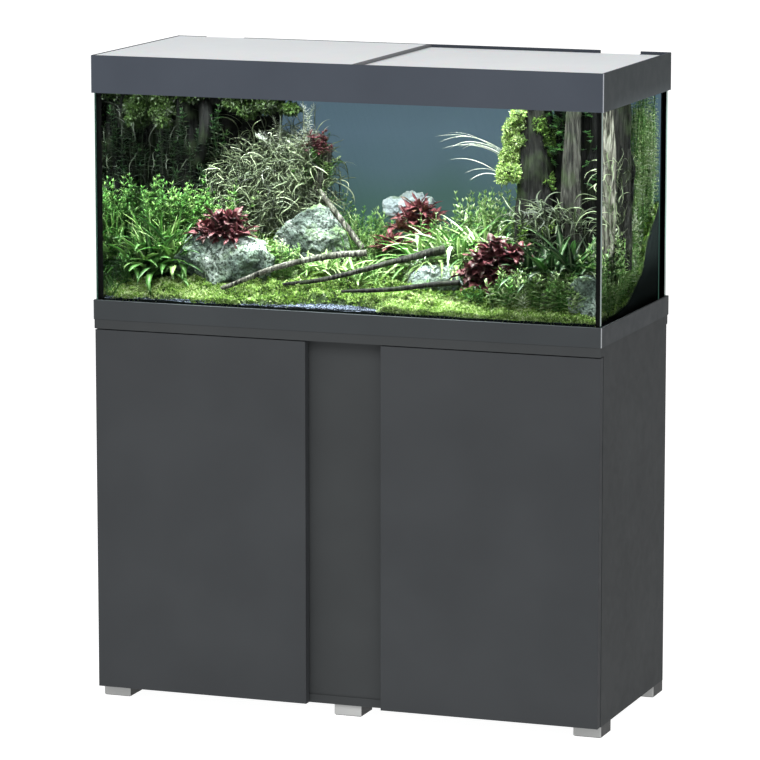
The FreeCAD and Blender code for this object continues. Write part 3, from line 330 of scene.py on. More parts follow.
def bush(batch, rng, roots, height, tint, leaf, whorls=9, per=4, lean=(0, 18), bend=(0, 15),
         shape="lance", droop=(20, 40), sway=8.0):
    """Stems with whorls of leaves all the way up. leaf is a leaf's length and width, and per the
    number of leaves in a whorl."""
    count = len(roots)
    tall = rng.uniform(*height, count)
    azimuth, tilt = rng.uniform(0, 360, count), rng.uniform(*lean, count)
    curve = rng.uniform(*bend, count)
    line = spines(rng, roots, azimuth, tilt, curve, tall, whorls, sway)
    batch.add(*leaf_surface(rng, line, 2.2, rng.uniform(*tint, count) * 0.6, "stem", slim=True))
    share = np.linspace(0, 1, whorls + 1)[1:]
    nodes = np.repeat(line[0][:, 1:].reshape(-1, 3), per, 0)
    share = np.tile(np.repeat(share, per), count)
    spot = np.tile(np.arange(per), count * whorls)
    row = np.tile(np.repeat(np.arange(whorls), per), count)
    total = len(nodes)
    around = spot * 360 / per + row * 45 + np.repeat(rng.uniform(0, 360, count), whorls * per)
    keep = rng.uniform(size=total) > MISSING_LEAVES
    size = np.interp(share, (0, 0.6, 0.9, 1), (0.8, 1, 0.8, 0.55)) * rng.uniform(0.8, 1.2, total)
    leaning = np.interp(share, (0, 0.7, 1), (75, 62, 25)) + rng.normal(0, 9, total)
    tints = np.clip(np.repeat(rng.uniform(*tint, count), whorls * per) - 0.12
                    + 0.2 * share + rng.normal(0, 0.05, total), 0, 1)
    batch.add(*leaves(rng, nodes[keep], (around + rng.normal(0, 10, total))[keep], leaning[keep],
                      rng.uniform(*droop, total)[keep], (leaf[0] * size)[keep],
                      (leaf[1] * size)[keep], tints[keep], shape, segments=4, fold=0.3,
                      slim=True))


def thicket(batch, rng, *beds):
    """Bushes on the soil. A bed gives the number of stems, the centre, the spread, and what
    bush() is told."""
    for count, centre, spread, *settings in beds:
        bush(batch, rng, scatter(rng, count, centre, spread), *settings)


def tuft(batch, rng, roots, length, width, tint, lean=(0, 40), bend=(20, 80), sway=10.0,
         segments=9, azimuth=(0, 360), shape="ribbon"):
    """Grass-like blades."""
    count = len(roots)
    batch.add(*leaves(rng, roots, rng.uniform(*azimuth, count), rng.uniform(*lean, count),
                      rng.uniform(*bend, count), rng.uniform(*length, count),
                      rng.uniform(*width, count), rng.uniform(*tint, count), shape, segments,
                      fold=0.35, sway=sway, twist=60, slim=True))


def blob(batch, centre, radii, seed, detail, bump, cell=40.0):
    """A lumpy mound, as a base for moss and grass: gives its surface points and normals."""
    points, faces = ball(detail)
    swell = 1 + bump * lattice_noise(points * np.array(radii), cell, seed, 4)
    placed = np.array(centre) + points * np.array(radii) * swell[:, None]
    batch.add(placed, [faces], (0.1, 0.2, 0.0))
    return placed, unit(points / np.array(radii))


def moss_cover(batch, rng, points, normals, count, size, tint, up=0.25):
    """Moss leaflets that grow out of a surface given by points and normals."""
    chosen = rng.integers(0, len(points), count)
    jitter = rng.normal(0, 2.0, (count, 3))
    directions = normals[chosen] + 0.9 * rng.normal(0, 0.6, (count, 3)) + (0, 0, up)
    batch.add(*leaflets(rng, points[chosen] + jitter, directions, rng.uniform(*size, count),
                        rng.uniform(*size, count) * 0.55, rng.uniform(*tint, count)))


def limb(batch, stations, rings, around, ridge, seed, paleness=0.0, knots=0.15, fibre=6.0):
    """A limb with long bark ridges through stations of x, y, z and radius. Gives its surface
    points and their directions from the core."""
    rows = curve_through(stations, rings)
    spine, radius = rows[:, :3], rows[:, 3]
    along = unit(np.gradient(spine, axis=0))
    whole = spine[-1] - spine[0]
    least = np.eye(3)[np.abs(whole).argmin()]
    side = unit(np.cross(along, least))
    other = np.cross(along, side)
    turn = np.linspace(0, 2 * math.pi, around, endpoint=False)
    ring = (side[:, None] * np.cos(turn)[None, :, None]
            + other[:, None] * np.sin(turn)[None, :, None])
    travel = np.concatenate([[0], np.cumsum(np.linalg.norm(np.diff(spine, axis=0), axis=1))])
    bark = np.stack(np.broadcast_arrays(np.cos(turn)[None] * radius[:, None],
                                        np.sin(turn)[None] * radius[:, None],
                                        travel[:, None] / fibre), -1).reshape(-1, 3)
    lumps = (spine[:, None] + ring * radius[:, None, None]).reshape(-1, 3)
    swell = (1 + ridge * lattice_noise(bark, 9.0, seed, 3)
             + knots * lattice_noise(lumps, 45.0, seed + 1, 2)).reshape(rings, around)
    placed = spine[:, None] + ring * (radius[:, None] * swell)[..., None]
    batch.add(placed, tube_faces(rings, around), (paleness, 0, 0))
    return placed.reshape(-1, 3), ring.reshape(-1, 3)


# ---------------------------------------------------------------- materials
def shade(red, green, blue):
    """A colour given in 0-255 display values."""
    def linear(value):
        value /= 255
        return value / 12.92 if value <= 0.04045 else ((value + 0.055) / 1.055) ** 2.4
    return (linear(red), linear(green), linear(blue), 1.0)


class Look:
    """A material's node tree, built with short calls."""

    def __init__(self, name, colour=(0.5, 0.5, 0.5, 1), roughness=0.5, **settings):
        self.material = bpy.data.materials.new("look_" + name)
        self.material.use_nodes = True
        self.tree = self.material.node_tree
        self.shader = self.tree.nodes["Principled BSDF"]
        self.output = self.tree.nodes["Material Output"]
        self.set("Base Color", colour)
        self.set("Roughness", roughness)
        for socket, value in settings.items():
            self.set(socket.replace("_", " "), value)
        self.place = self.node("ShaderNodeTexCoord").outputs["Object"]

    def set(self, socket, value):
        """Sets or links an input of the main shader."""
        self.fill(self.shader.inputs[socket], value)

    def fill(self, socket, value):
        """Links an output to a socket, or sets a plain value."""
        if isinstance(value, bpy.types.NodeSocket):
            self.tree.links.new(value, socket)
        else:
            socket.default_value = value

    def node(self, kind, settings=(), **sockets):
        made = self.tree.nodes.new(kind)
        for name, value in dict(settings).items():
            setattr(made, name, value)
        for name, value in sockets.items():
            self.fill(made.inputs[name.replace("_", " ")], value)
        return made

    def part(self, vector, axis):
        """A vector's X, Y or Z."""
        return self.node("ShaderNodeSeparateXYZ", Vector=vector).outputs[axis]

    def geometry(self, output):
        """The point's position or normal, or whether its face is seen from behind."""
        return self.node("ShaderNodeNewGeometry").outputs[output]

    def facing_edge(self):
        """0 where a surface is seen straight on, 1 where it is seen at the flattest angle."""
        return self.node("ShaderNodeLayerWeight", Blend=0.5).outputs["Facing"]

    def stretched(self, x, y, z):
        """The place on the object, scaled along each axis."""
        made = self.node("ShaderNodeMapping", Vector=self.place, Scale=(x, y, z))
        return made.outputs["Vector"]

    def noise(self, scale, detail=3.0, where=None, distortion=0.0):
        made = self.node("ShaderNodeTexNoise", Vector=where or self.place, Scale=scale,
                         Detail=detail, Distortion=distortion)
        return made.outputs["Fac"]

    def cells(self, scale, output="Distance"):
        made = self.node("ShaderNodeTexVoronoi", Vector=self.place, Scale=scale)
        return made.outputs[output]

    def mark(self, channel):
        """A leaf's tint, or the share along or across it."""
        marks = self.node("ShaderNodeAttribute", {"attribute_name": "leaf"}).outputs["Vector"]
        return self.part(marks, ("tint", "along", "across").index(channel))

    def span(self, value, low, high, to_low=0.0, to_high=1.0):
        """A value's place between low and high, as one between to_low and to_high."""
        made = self.node("ShaderNodeMapRange")
        for index, number in enumerate((value, low, high, to_low, to_high)):
            self.fill(made.inputs[index], number)
        return made.outputs["Result"]

    def math(self, operation, first, second=0.5):
        made = self.node("ShaderNodeMath", {"operation": operation})
        self.fill(made.inputs[0], first)
        self.fill(made.inputs[1], second)
        return made.outputs["Value"]

    def mix(self, share, first, second):
        """The first colour, or the second by a share."""
        made = self.node("ShaderNodeMix", {"data_type": "RGBA"})
        for index, value in ((0, share), (6, first), (7, second)):
            self.fill(made.inputs[index], value)
        return made.outputs[2]

    def ramp(self, value, *stops):
        made = self.node("ShaderNodeValToRGB", Fac=value)
        elements = made.color_ramp.elements
        while len(elements) < len(stops):
            elements.new(0.5)
        for element, (position, colour) in zip(elements, stops):
            element.position = position
            element.color = colour
        return made.outputs["Color"]

    def bump(self, value, depth, base=None):
        """Bumps of a height field; depth is in millimetres."""
        made = self.node("ShaderNodeBump", Height=value, Distance=depth * MM)
        if base is not None:
            self.fill(made.inputs["Normal"], base)
        return made.outputs["Normal"]

    def glazed(self, shine, tint):
        """A see-through sheet that mirrors by the share shine, with faint smears in the mirror."""
        through = self.node("ShaderNodeBsdfTransparent", Color=tint)
        smear = self.span(self.noise(9.0, 4.0), 0.4, 0.7, 0.01, 0.03)
        polish = self.node("ShaderNodeBsdfGlossy", Color=(0.84, 0.86, 0.85, 1), Roughness=smear)
        return self.blend(shine, through.outputs["BSDF"], polish.outputs["BSDF"])

    def blend(self, share, first, second):
        """The first shader, or the second by a share."""
        made = self.node("ShaderNodeMixShader", Fac=share)
        self.fill(made.inputs[1], first)
        self.fill(made.inputs[2], second)
        return made.outputs["Shader"]

    def finish_with(self, shader):
        self.tree.links.new(shader, self.output.inputs["Surface"])
        return self

    def repaint(self, share, colour):
        """Gives the surface another colour by a share."""
        base = self.shader.inputs["Base Color"].links[0].from_socket
        self.set("Base Color", self.mix(share, base, colour))
        return self


def lit_corners(made, node_name, colour):
    """Paints the upright front corners of a board or frame with the shine of their rounding."""
    low, high = node_box(node_name)
    across = made.math("ABSOLUTE", made.part(made.place, "X"))
    off_side = made.math("SUBTRACT", high[0] * MM, across)
    off_front = made.math("SUBTRACT", made.part(made.place, "Y"), low[1] * MM)
    near = made.math("LESS_THAN", made.math("ADD", off_side, off_front), 1.6 * MM)
    return made.repaint(near, colour)


def grained(name, colour, roughness, grain=900.0, depth=0.06, mottle=0.06, specular=0.06):
    """A coloured surface with a fine grain, faint clouding and uneven gloss."""
    made = Look(name, roughness=roughness, Specular_IOR_Level=specular)
    fine, cloudy = made.noise(grain, 2.0), made.noise(5.0, 3.0)
    darker, lighter = (tuple(c * (1 + sign * mottle) for c in colour[:3]) + (1,)
                       for sign in (-1, 1))
    clouded = made.mix(made.span(cloudy, 0.35, 0.65), darker, lighter)
    made.set("Base Color", made.mix(made.span(fine, 0.3, 0.7, 0.0, 0.16), clouded, lighter))
    scuffs = made.noise(38.0, 6.0, distortion=0.6)
    made.set("Roughness", made.span(scuffs, 0.3, 0.7, roughness - 0.05, roughness + 0.06))
    made.set("Normal", made.bump(fine, depth))
    return made


def metal(name, colour, roughness, stretch=(30, 30, 900)):
    """Brushed or plated metal."""
    made = Look(name, colour, roughness, Metallic=1.0)
    brushed = made.noise(1.0, 4.0, made.stretched(*stretch))
    made.set("Roughness", made.span(brushed, 0.3, 0.7, roughness - 0.07, roughness + 0.1))
    darker = tuple(c * 0.8 for c in colour[:3]) + (1,)
    made.set("Base Color", made.mix(made.noise(60.0), colour, darker))
    made.set("Normal", made.bump(brushed, 0.03))
    return made


def pane_look(axis):
    """A pane of the tank whose broad faces look along an axis. Its inner face is a mirror at a
    flat angle, as a wet pane's is, and its outer face only at a very flat one. Its cut edges are
    green-grey."""
    made = Look("tank_glass_" + "xyz"[axis], shade(74, 104, 94), 0.15)
    behind, normal = made.geometry("Backfacing"), made.geometry("True Normal")
    outward = made.node("ShaderNodeVectorMath", {"operation": "SUBTRACT"})
    made.fill(outward.inputs[0], made.geometry("Position"))
    made.fill(outward.inputs[1], tuple((WATER_LOW + WATER_HIGH) / 2 * MM))
    looking = made.node("ShaderNodeVectorMath", {"operation": "DOT_PRODUCT"})
    made.fill(looking.inputs[0], outward.outputs["Vector"])
    made.fill(looking.inputs[1], normal)
    away = made.math("GREATER_THAN", looking.outputs["Value"], 0.0)
    outer = made.math("ABSOLUTE", made.math("SUBTRACT", away, behind))
    flatness = made.facing_edge()
    wet = made.math("MULTIPLY", made.math("SUBTRACT", 1.0, outer),
                    made.span(flatness, 0.3, 0.42, 0.0, 1.0))
    dry = made.math("MULTIPLY", outer, made.span(flatness, 0.75, 1.0, 0.0, 0.5))
    shine = made.math("MULTIPLY", made.math("SUBTRACT", 1.0, behind), made.math("ADD", wet, dry))
    clear = made.glazed(shine, (0.93, 0.955, 0.945, 1))
    broad = made.math("GREATER_THAN", made.math("ABSOLUTE", made.part(normal, axis)), 0.5)
    return made.finish_with(made.blend(broad, made.shader.outputs["BSDF"], clear))


def leafy(name, stops, glow, roughness, vein, patch, edge=None):
    """Plant tissue: coloured by the leaf's tint in patches, with a pale midrib, a foot painted
    darker as shade and a glow of the light behind it. edge is the colour of a rim painted paler as
    a highlight, if there is one."""
    made = Look(name, roughness=roughness, Specular_IOR_Level=0.45)
    tint, along, across = (made.mark(channel) for channel in ("tint", "along", "across"))
    varied = made.math("ADD", tint, made.span(made.noise(patch, 2.0), 0.3, 0.7, -0.07, 0.07))
    colour = made.ramp(varied, *stops)
    # Painted shade: each leaf is darkened towards its foot, where it sits in the plant's shade.
    foot = made.mix(made.span(along, 0.0, 0.45, 0.45, 0.0), colour, (0.012, 0.02, 0.008, 1))
    rib = made.mix(made.span(across, 0.0, 0.35, vein, 0.0), foot, (0.5, 0.58, 0.36, 1))
    # Painted highlight: the rim is paled towards the edge colour.
    if edge:
        rib = made.mix(made.span(across, 0.55, 1.0, 0.0, 0.6), rib, edge)
    made.set("Base Color", rib)
    streaks = made.noise(260.0, 2.0)
    made.set("Normal", made.bump(streaks, 0.25))
    made.set("Roughness", made.span(streaks, 0.3, 0.7, roughness - 0.08, roughness + 0.1))
    behind = made.node("ShaderNodeBsdfTranslucent", Color=rib).outputs["BSDF"]
    return made.finish_with(made.blend(glow, made.shader.outputs["BSDF"], behind))


# The colours of leaves, by tint.
GREENS = ((0.0, shade(14, 30, 16)), (0.25, shade(38, 76, 34)), (0.5, shade(84, 138, 60)),
          (0.72, shade(142, 172, 104)), (0.9, shade(192, 206, 164)), (1.0, shade(230, 236, 222)))
MOSSES = ((0.0, shade(24, 36, 16)), (0.3, shade(84, 118, 46)), (0.6, shade(140, 174, 78)),
          (0.85, shade(188, 206, 140)), (1.0, shade(222, 230, 186)))
GRASSES = ((0.0, shade(34, 40, 30)), (0.3, shade(82, 94, 68)), (0.6, shade(138, 150, 116)),
           (0.85, shade(194, 202, 176)), (1.0, shade(236, 240, 232)))
REDS = ((0.0, shade(30, 12, 14)), (0.3, shade(66, 26, 30)), (0.6, shade(94, 39, 47)),
        (0.85, shade(116, 56, 64)), (1.0, shade(104, 78, 56)))


def back_board():
    """Grey hardboard with lying fibres."""
    made = grained("back_board", shade(92, 93, 95), 0.75, grain=500.0, depth=0.2)
    fibres = made.noise(1.0, 5.0, made.stretched(500, 90, 90))
    made.set("Base Color", made.ramp(fibres, (0.3, shade(70, 71, 73)), (0.7, shade(112, 112, 113))))
    return made


def paint_shade_on_ends(made, colour):
    """Paints shade on the faces that look to the left or right: gives them a darker colour."""
    sideways = made.math("ABSOLUTE", made.part(made.geometry("True Normal"), "X"))
    return made.repaint(made.span(sideways, 0.6, 0.9), colour)


def foot_plastic():
    """A silvery front and back; the ends are painted darker, as shade."""
    made = grained("foot_plastic", shade(176, 177, 176), 0.5, grain=700.0, specular=0.06)
    return paint_shade_on_ends(made, shade(66, 67, 67))


def glide_felt():
    """Dark felt with a soft sheen."""
    made = grained("glide_felt", shade(70, 70, 70), 0.95, grain=1500.0, depth=0.4)
    made.set("Sheen Weight", 0.4)
    return made


def bumper_rubber():
    made = grained("bumper_rubber", shade(205, 205, 198), 0.45, depth=0.02)
    made.set("Subsurface Weight", 0.3)
    return made


def frame_plastic():
    made = grained("frame_plastic", shade(60, 63, 65), 0.52, grain=1300.0, depth=0.05,
                   specular=0.03)
    return lit_corners(made, "bottom_frame", shade(150, 153, 156))


def foam_black():
    """Black foam with fine pores."""
    made = grained("foam_black", shade(22, 22, 23), 0.9, grain=1800.0, depth=0.3)
    pores = made.cells(1400.0)
    made.set("Normal", made.bump(pores, 0.25))
    return made


def film_blue():
    """The printed background: blue-grey, greener low down, in soft clouds. It glows, as painted
    light in place of the lamp's light on it.
    """
    made = Look("film_blue", roughness=0.6, Specular_IOR_Level=0.2)
    level = made.span(made.part(made.place, "Z"), PANE_FOOT * MM, BRACE_UNDER * MM)
    clouds = made.span(made.noise(3.0, 2.0), 0.3, 0.7, -0.12, 0.12)
    tone = made.math("ADD", level, clouds)
    made.set("Base Color", made.ramp(tone, (0.0, shade(40, 54, 46)), (0.4, shade(44, 53, 60))))
    # Painted light: the film gives off light of its own, though it is no lamp, in place of the
    # lamp's light falling on it.
    made.set("Emission Color", made.ramp(tone, (0.0, shade(58, 88, 78)), (0.4, shade(70, 98, 92)),
                                         (0.56, shade(88, 110, 122)), (0.75, shade(93, 113, 129)),
                                         (1.0, shade(86, 105, 120))))
    made.set("Emission Strength", 1.0)
    made.set("Normal", made.bump(made.noise(500.0), 0.02))
    return made


def hood_plastic():
    made = grained("hood_plastic", shade(67, 72, 80), 0.52, grain=1300.0, depth=0.05,
                   specular=0.03)
    # The ends that look left and right are painted darker as shade, and the upright front corners
    # get a painted highlight.
    return lit_corners(paint_shade_on_ends(made, shade(59, 64, 66)), "hood_frame", shade(156, 160, 166))


def lid_plastic():
    made = grained("lid_plastic", shade(238, 239, 241), 0.38, grain=650.0, depth=0.12, mottle=0.02,
                   specular=0.5)
    made.set("Subsurface Weight", 0.1)
    return made


def led_board():
    """A white board with rows of small yellow-white LEDs."""
    made = Look("led_board", shade(232, 232, 226), 0.4)
    spots = made.cells(90.0)
    lit = made.span(spots, 0.25, 0.3, 1.0, 0.0)
    made.set("Base Color", made.mix(lit, shade(226, 228, 222), shade(246, 224, 120)))
    made.set("Normal", made.bump(made.noise(400.0), 0.05))
    return made


def diffuser_acrylic():
    """The lamp's milky cover, which glows evenly."""
    made = grained("diffuser_acrylic", shade(240, 242, 240), 0.3, mottle=0.01)
    made.set("Emission Color", (1.0, 0.98, 0.94, 1))
    made.set("Emission Strength", 2.0)
    return made


def sponge():
    """Blue filter foam with open pores."""
    made = grained("sponge", shade(60, 92, 118), 0.95, grain=500.0, depth=0.5)
    pores = made.cells(420.0)
    made.set("Base Color", made.ramp(pores, (0.1, shade(22, 36, 50)), (0.6, shade(70, 104, 132))))
    made.set("Normal", made.bump(pores, 1.2))
    return made


def heater_glass():
    """Thin clear glass with a weak reflection that grows at a flat angle."""
    made = Look("heater_glass")
    shine = made.math("MULTIPLY", made.math("POWER", made.facing_edge(), 5.0), 0.4)
    return made.finish_with(made.glazed(shine, (0.9, 0.93, 0.93, 1)))


def gravel():
    """Fine blue-grey gravel over dark soil: pale on top, dark where the glass cuts it."""
    made = Look("gravel", roughness=0.85, Specular_IOR_Level=0.02)
    upward = made.span(made.part(made.geometry("True Normal"), "Z"), 0.35, 0.75)
    grains, tone = made.cells(420.0), made.cells(420.0, output="Color")
    grey = made.node("ShaderNodeRGBToBW", Color=tone).outputs["Val"]
    top = made.ramp(grey, (0.1, shade(44, 50, 62)), (0.5, shade(84, 92, 108)),
                    (0.85, shade(124, 129, 144)))
    soil = made.ramp(made.math("ADD", grey, made.span(made.noise(40.0), 0.3, 0.7, -0.2, 0.2)),
                     (0.1, shade(21, 25, 25)), (0.6, shade(23, 27, 27)), (1.0, shade(26, 30, 30)))
    made.set("Base Color", made.mix(upward, soil, top))
    made.set("Normal", made.bump(made.math("MULTIPLY", grains, upward), 1.2))
    return made


def rock():
    """Grey stone with pale veins, dark cracks and a green film in places."""
    made = Look("rock", roughness=0.78, Specular_IOR_Level=0.3)
    cloudy, fine = made.noise(22.0, 6.0, distortion=0.5), made.noise(140.0, 5.0)
    veins = made.node("ShaderNodeTexNoise", {"noise_type": "RIDGED_MULTIFRACTAL"},
                      Vector=made.place, Scale=34.0, Detail=5.0).outputs["Fac"]
    base = made.ramp(cloudy, (0.34, shade(46, 56, 52)), (0.45, shade(92, 106, 98)),
                     (0.56, shade(138, 149, 142)), (0.7, shade(200, 206, 202)))
    pits = made.noise(190.0, 4.0, distortion=0.6)
    speckled = made.mix(made.span(pits, 0.46, 0.6, 0.0, 0.9), base, shade(34, 44, 38))
    veined = made.mix(made.span(veins, 0.55, 0.95, 0.0, 0.55), speckled, shade(222, 228, 224))
    upward = made.span(made.part(made.geometry("Normal"), "Z"), 0.0, 0.8, 0.1, 0.65)
    patch = made.math("MULTIPLY", made.span(made.noise(30.0, 4.0), 0.48, 0.62), upward)
    tint = made.mark("tint")
    darkened = made.mix(made.span(tint, 0.0, 0.5, 1.0, 0.0), veined, shade(24, 31, 27))
    toned = made.mix(made.span(tint, 0.5, 1.0), darkened, shade(216, 228, 236))
    made.set("Base Color", made.mix(patch, toned, shade(92, 116, 70)))
    made.set("Normal", made.bump(pits, -4.0, made.bump(fine, 5.0, made.bump(veins, 3.0))))
    return made


def driftwood():
    """Dark water-logged wood with long fibres, its near-black partly painted shade; a limb's tint
    mark says how pale it is.
    """
    made = Look("driftwood", roughness=0.75, Specular_IOR_Level=0.12)
    fibres = made.noise(1.0, 6.0, made.stretched(240, 240, 26), distortion=0.8)
    patches = made.noise(26.0, 5.0)
    tint = made.mark("tint")
    # The dark fibres' near-black is partly the wet wood's own colour and partly painted shade.
    dark = made.ramp(fibres, (0.3, shade(3, 4, 4)), (0.7, shade(20, 20, 19)))
    pale = made.ramp(fibres, (0.36, shade(36, 35, 31)), (0.5, shade(106, 103, 94)),
                     (0.68, shade(184, 182, 170)))
    wood = made.mix(tint, dark, pale)
    algae = made.math("MULTIPLY", made.span(patches, 0.5, 0.68), made.span(tint, 0, 1, 0.3, 0.6))
    made.set("Base Color", made.mix(algae, wood, shade(52, 66, 38)))
    made.set("Normal", made.bump(fibres, 1.8, made.bump(patches, 2.5)))
    return made


PANE_FOOT = node_box("front_pane")[0][2]
# Slots whose look needs nothing more than a maker's settings.
PLAIN_LOOKS = {
    "anthracite_board": (grained, shade(61, 63, 64), 0.62, {"specular": 0.03}),
    "door_board": (grained, shade(61, 63, 65), 0.58, {"grain": 1100.0, "specular": 0.03}),
    "silicone_black": (grained, shade(13, 13, 13), 0.4,
                       {"grain": 220.0, "depth": 0.08, "specular": 0.08}),
    "profile_plastic": (grained, shade(112, 114, 117), 0.35, {"mottle": 0.02}),
    "lamp_plastic": (grained, shade(44, 46, 49), 0.5, {}),
    "filter_plastic": (grained, shade(34, 37, 40), 0.42, {"grain": 1000.0}),
    "dial_plastic": (grained, shade(150, 40, 34), 0.4, {"grain": 800.0}),
    "suction_rubber": (grained, shade(46, 52, 52), 0.35, {"depth": 0.03}),
    "hinge_steel": (metal, shade(205, 205, 203), 0.28, {}),
    "fitting_zinc": (metal, shade(168, 169, 172), 0.42, {"stretch": (200, 200, 200)}),
    "lamp_aluminium": (metal, shade(188, 190, 193), 0.36, {"stretch": (14, 900, 900)}),
    "element_steel": (metal, shade(150, 142, 132), 0.4, {"stretch": (300, 300, 40)}),
    "moss": (leafy, MOSSES, 0.35, {"roughness": 0.6, "vein": 0.05, "patch": 26.0}),
    "red_leaves": (leafy, REDS, 0.25, {"roughness": 0.48, "vein": 0.08, "patch": 90.0,
                                       "edge": shade(112, 66, 72)}),
    "green_leaves": (leafy, GREENS, 0.34, {"roughness": 0.34, "vein": 0.3, "patch": 60.0}),
    "grass_leaves": (leafy, GRASSES, 0.3, {"roughness": 0.5, "vein": 0.1, "patch": 40.0}),
}
LOOKS = {maker.__name__: maker for maker in (
    back_board, foot_plastic, glide_felt, bumper_rubber, frame_plastic, foam_black, film_blue,
    hood_plastic, lid_plastic, led_board, diffuser_acrylic, sponge, heater_glass, gravel, rock,
    driftwood)}
made_looks = {}


def look(slot):
    """The material of a slot, made the first time that it is asked for."""
    if slot not in made_looks:
        if slot in PLAIN_LOOKS:
            maker, *settings, others = PLAIN_LOOKS[slot]
            made = maker(slot, *settings, **others)
        else:
            made = LOOKS[slot]()
        made_looks[slot] = made.material
    return made_looks[slot]


def paint_cad_nodes():
    """Gives every CAD node the look of its slot. A pane's look depends on its thinnest side."""
    panes = [pane_look(axis).material for axis in range(3)]
    for name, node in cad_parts.items():
        for place in node.material_slots:
            slot = place.material.name.split(".")[0]
            if slot == "tank_glass":
                low, high = node_box(name)
                place.material = panes[np.argmin(high - low)]
            else:
                place.material = look(slot)


# ---------------------------------------------------------------- the aquascape
def gravel_bed():
    """The soil as a closed block with an uneven top, and loose grains along the front."""
    batch = Batch()
    x, y, index, quads = grid(np.linspace(BED_LOW[0], BED_HIGH[0], 240),
                              np.linspace(BED_LOW[1], BED_HIGH[1], 110))
    top = ground(x, y) + 2.5 * lattice_noise(np.column_stack([x, y, 0 * x]), 30.0, 3, 3)
    surface = np.column_stack([x, y, top])
    border = np.concatenate([index[:, 0], index[-1, 1:], index[-2::-1, -1], index[0, -2:0:-1]])
    rim = surface[border]
    foot = rim * (1, 1, 0) + (0, 0, BED_LOW[2])
    high = np.arange(len(border))
    low = high + len(border)
    walls = np.column_stack([high, low, np.roll(low, -1), np.roll(high, -1)])
    batch.add(surface, [quads])
    batch.add(np.vstack([rim, foot]), [walls, low[None, ::-1]])
    rng = np.random.default_rng(11)
    spots = np.vstack([within(rng, 1700, (-128, 70), (-198, -160)),
                       within(rng, 900, (-486, 90), (-198, -187))])
    count = len(spots)
    points, faces = ball(1)
    radius = rng.uniform(0.9, 2.1, (count, 1, 1)) * rng.uniform(0.7, 1.2, (count, 1, 3))
    centre = np.column_stack([spots, ground(*spots.T) + rng.uniform(0.5, 2.0, count)])
    uneven = rng.uniform(0.85, 1.15, (count, len(points), 1))
    grains = centre[:, None] + points[None] * radius * uneven
    offsets = (np.arange(count) * len(points))[:, None, None]
    batch.add(grains, [(faces[None] + offsets).reshape(-1, 3)])
    batch.piece("gravel_bed_grains", "gravel", "gravel_bed")


# Centre x, y, top level, length, depth, height, and tint: 0.5 is plain, less is darker.
ROCKS = {
    "rock_left": (-288, -98, 900, 206, 96, 140, 0.5),
    "rock_middle": (-142, 10, 948, 166, 66, 150, 0.2),
    "rock_far": (-4, 168, 960, 100, 46, 56, 0.72),
    "rock_front": (134, -62, 855, 116, 48, 64, 0.56),
    "rock_right": (454, -160, 864, 62, 42, 90, 0.5),
    "rock_shoulder": (-205, -112, 880, 58, 50, 80, 0.45),
}


def rocks():
    """Angular stones: balls clipped by random planes, then roughened."""
    batch = Batch()
    ball_points, faces = ball(6)
    boxy = ball_points / (np.abs(ball_points) ** 3).sum(1, keepdims=True) ** (1 / 3)
    for number, (x, y, top, length, depth, height, tint) in enumerate(ROCKS.values()):
        rng = np.random.default_rng(40 + number)
        normals = unit(rng.normal(size=(16, 3)))
        reach = rng.uniform(0.74, 1.05, 16)
        facing = np.maximum(boxy @ normals.T, 1e-3)
        radius = np.minimum((reach / facing).min(1), 1.0)
        half = np.array([length, depth, height]) / 2
        placed = boxy * radius[:, None] * half
        rough = (12.0 * lattice_noise(placed, 52.0, number, 3)
                 - 13.0 * np.abs(lattice_noise(placed, 30.0, number + 9, 4))
                 + 3.0 * lattice_noise(placed, 9.0, number + 20, 2))
        placed = placed + ball_points * rough[:, None]
        placed += (x, y, top - placed[:, 2].max())
        batch.add(placed, [faces], (tint, 0, 0))
    batch.piece("stones", "rock", "rocks")


def driftwood_left():
    """The dark root mass at the upper left."""
    batch = Batch()
    limb(batch, ((-432, 72, 840, 37), (-418, 66, 1010, 31), (-426, 62, 1160, 27)), 150, 90, 0.22, 1)
    limb(batch, ((-440, 62, 1120, 17), (-360, 48, 1138, 16), (-290, 44, 1150, 14),
                 (-170, 30, 1156, 7)), 120, 48, 0.3, 2)
    roots = (((-350, 96, 860, 34), (-356, 92, 1000, 30), (-330, 84, 1165, 26)),
             ((-474, 88, 880, 20), (-466, 84, 1020, 24), (-478, 80, 1170, 20)),
             ((-290, 100, 880, 30), (-282, 98, 1010, 26), (-268, 92, 1100, 14)),
             ((-392, 40, 1010, 10), (-372, 30, 1080, 13), (-380, 44, 1160, 12)),
             ((-226, 96, 880, 26), (-206, 98, 980, 22), (-176, 96, 1062, 10)),
             ((-392, 92, 900, 24), (-396, 94, 1030, 24), (-386, 90, 1168, 24)),
             ((-304, 78, 1010, 16), (-298, 80, 1090, 20), (-290, 84, 1168, 20)),
             ((-250, 92, 1000, 10), (-252, 90, 1090, 14), (-244, 92, 1168, 15)))
    for number, stations in enumerate(roots):
        limb(batch, stations, 110, 64, 0.25, 10 + number)
    limb(batch, ((-176, 60, 930, 15), (-146, 66, 1000, 12), (-134, 70, 1052, 8)), 90, 40, 0.3, 30,
         0.32)
    batch.piece("root_mass", "driftwood", "driftwood_left")


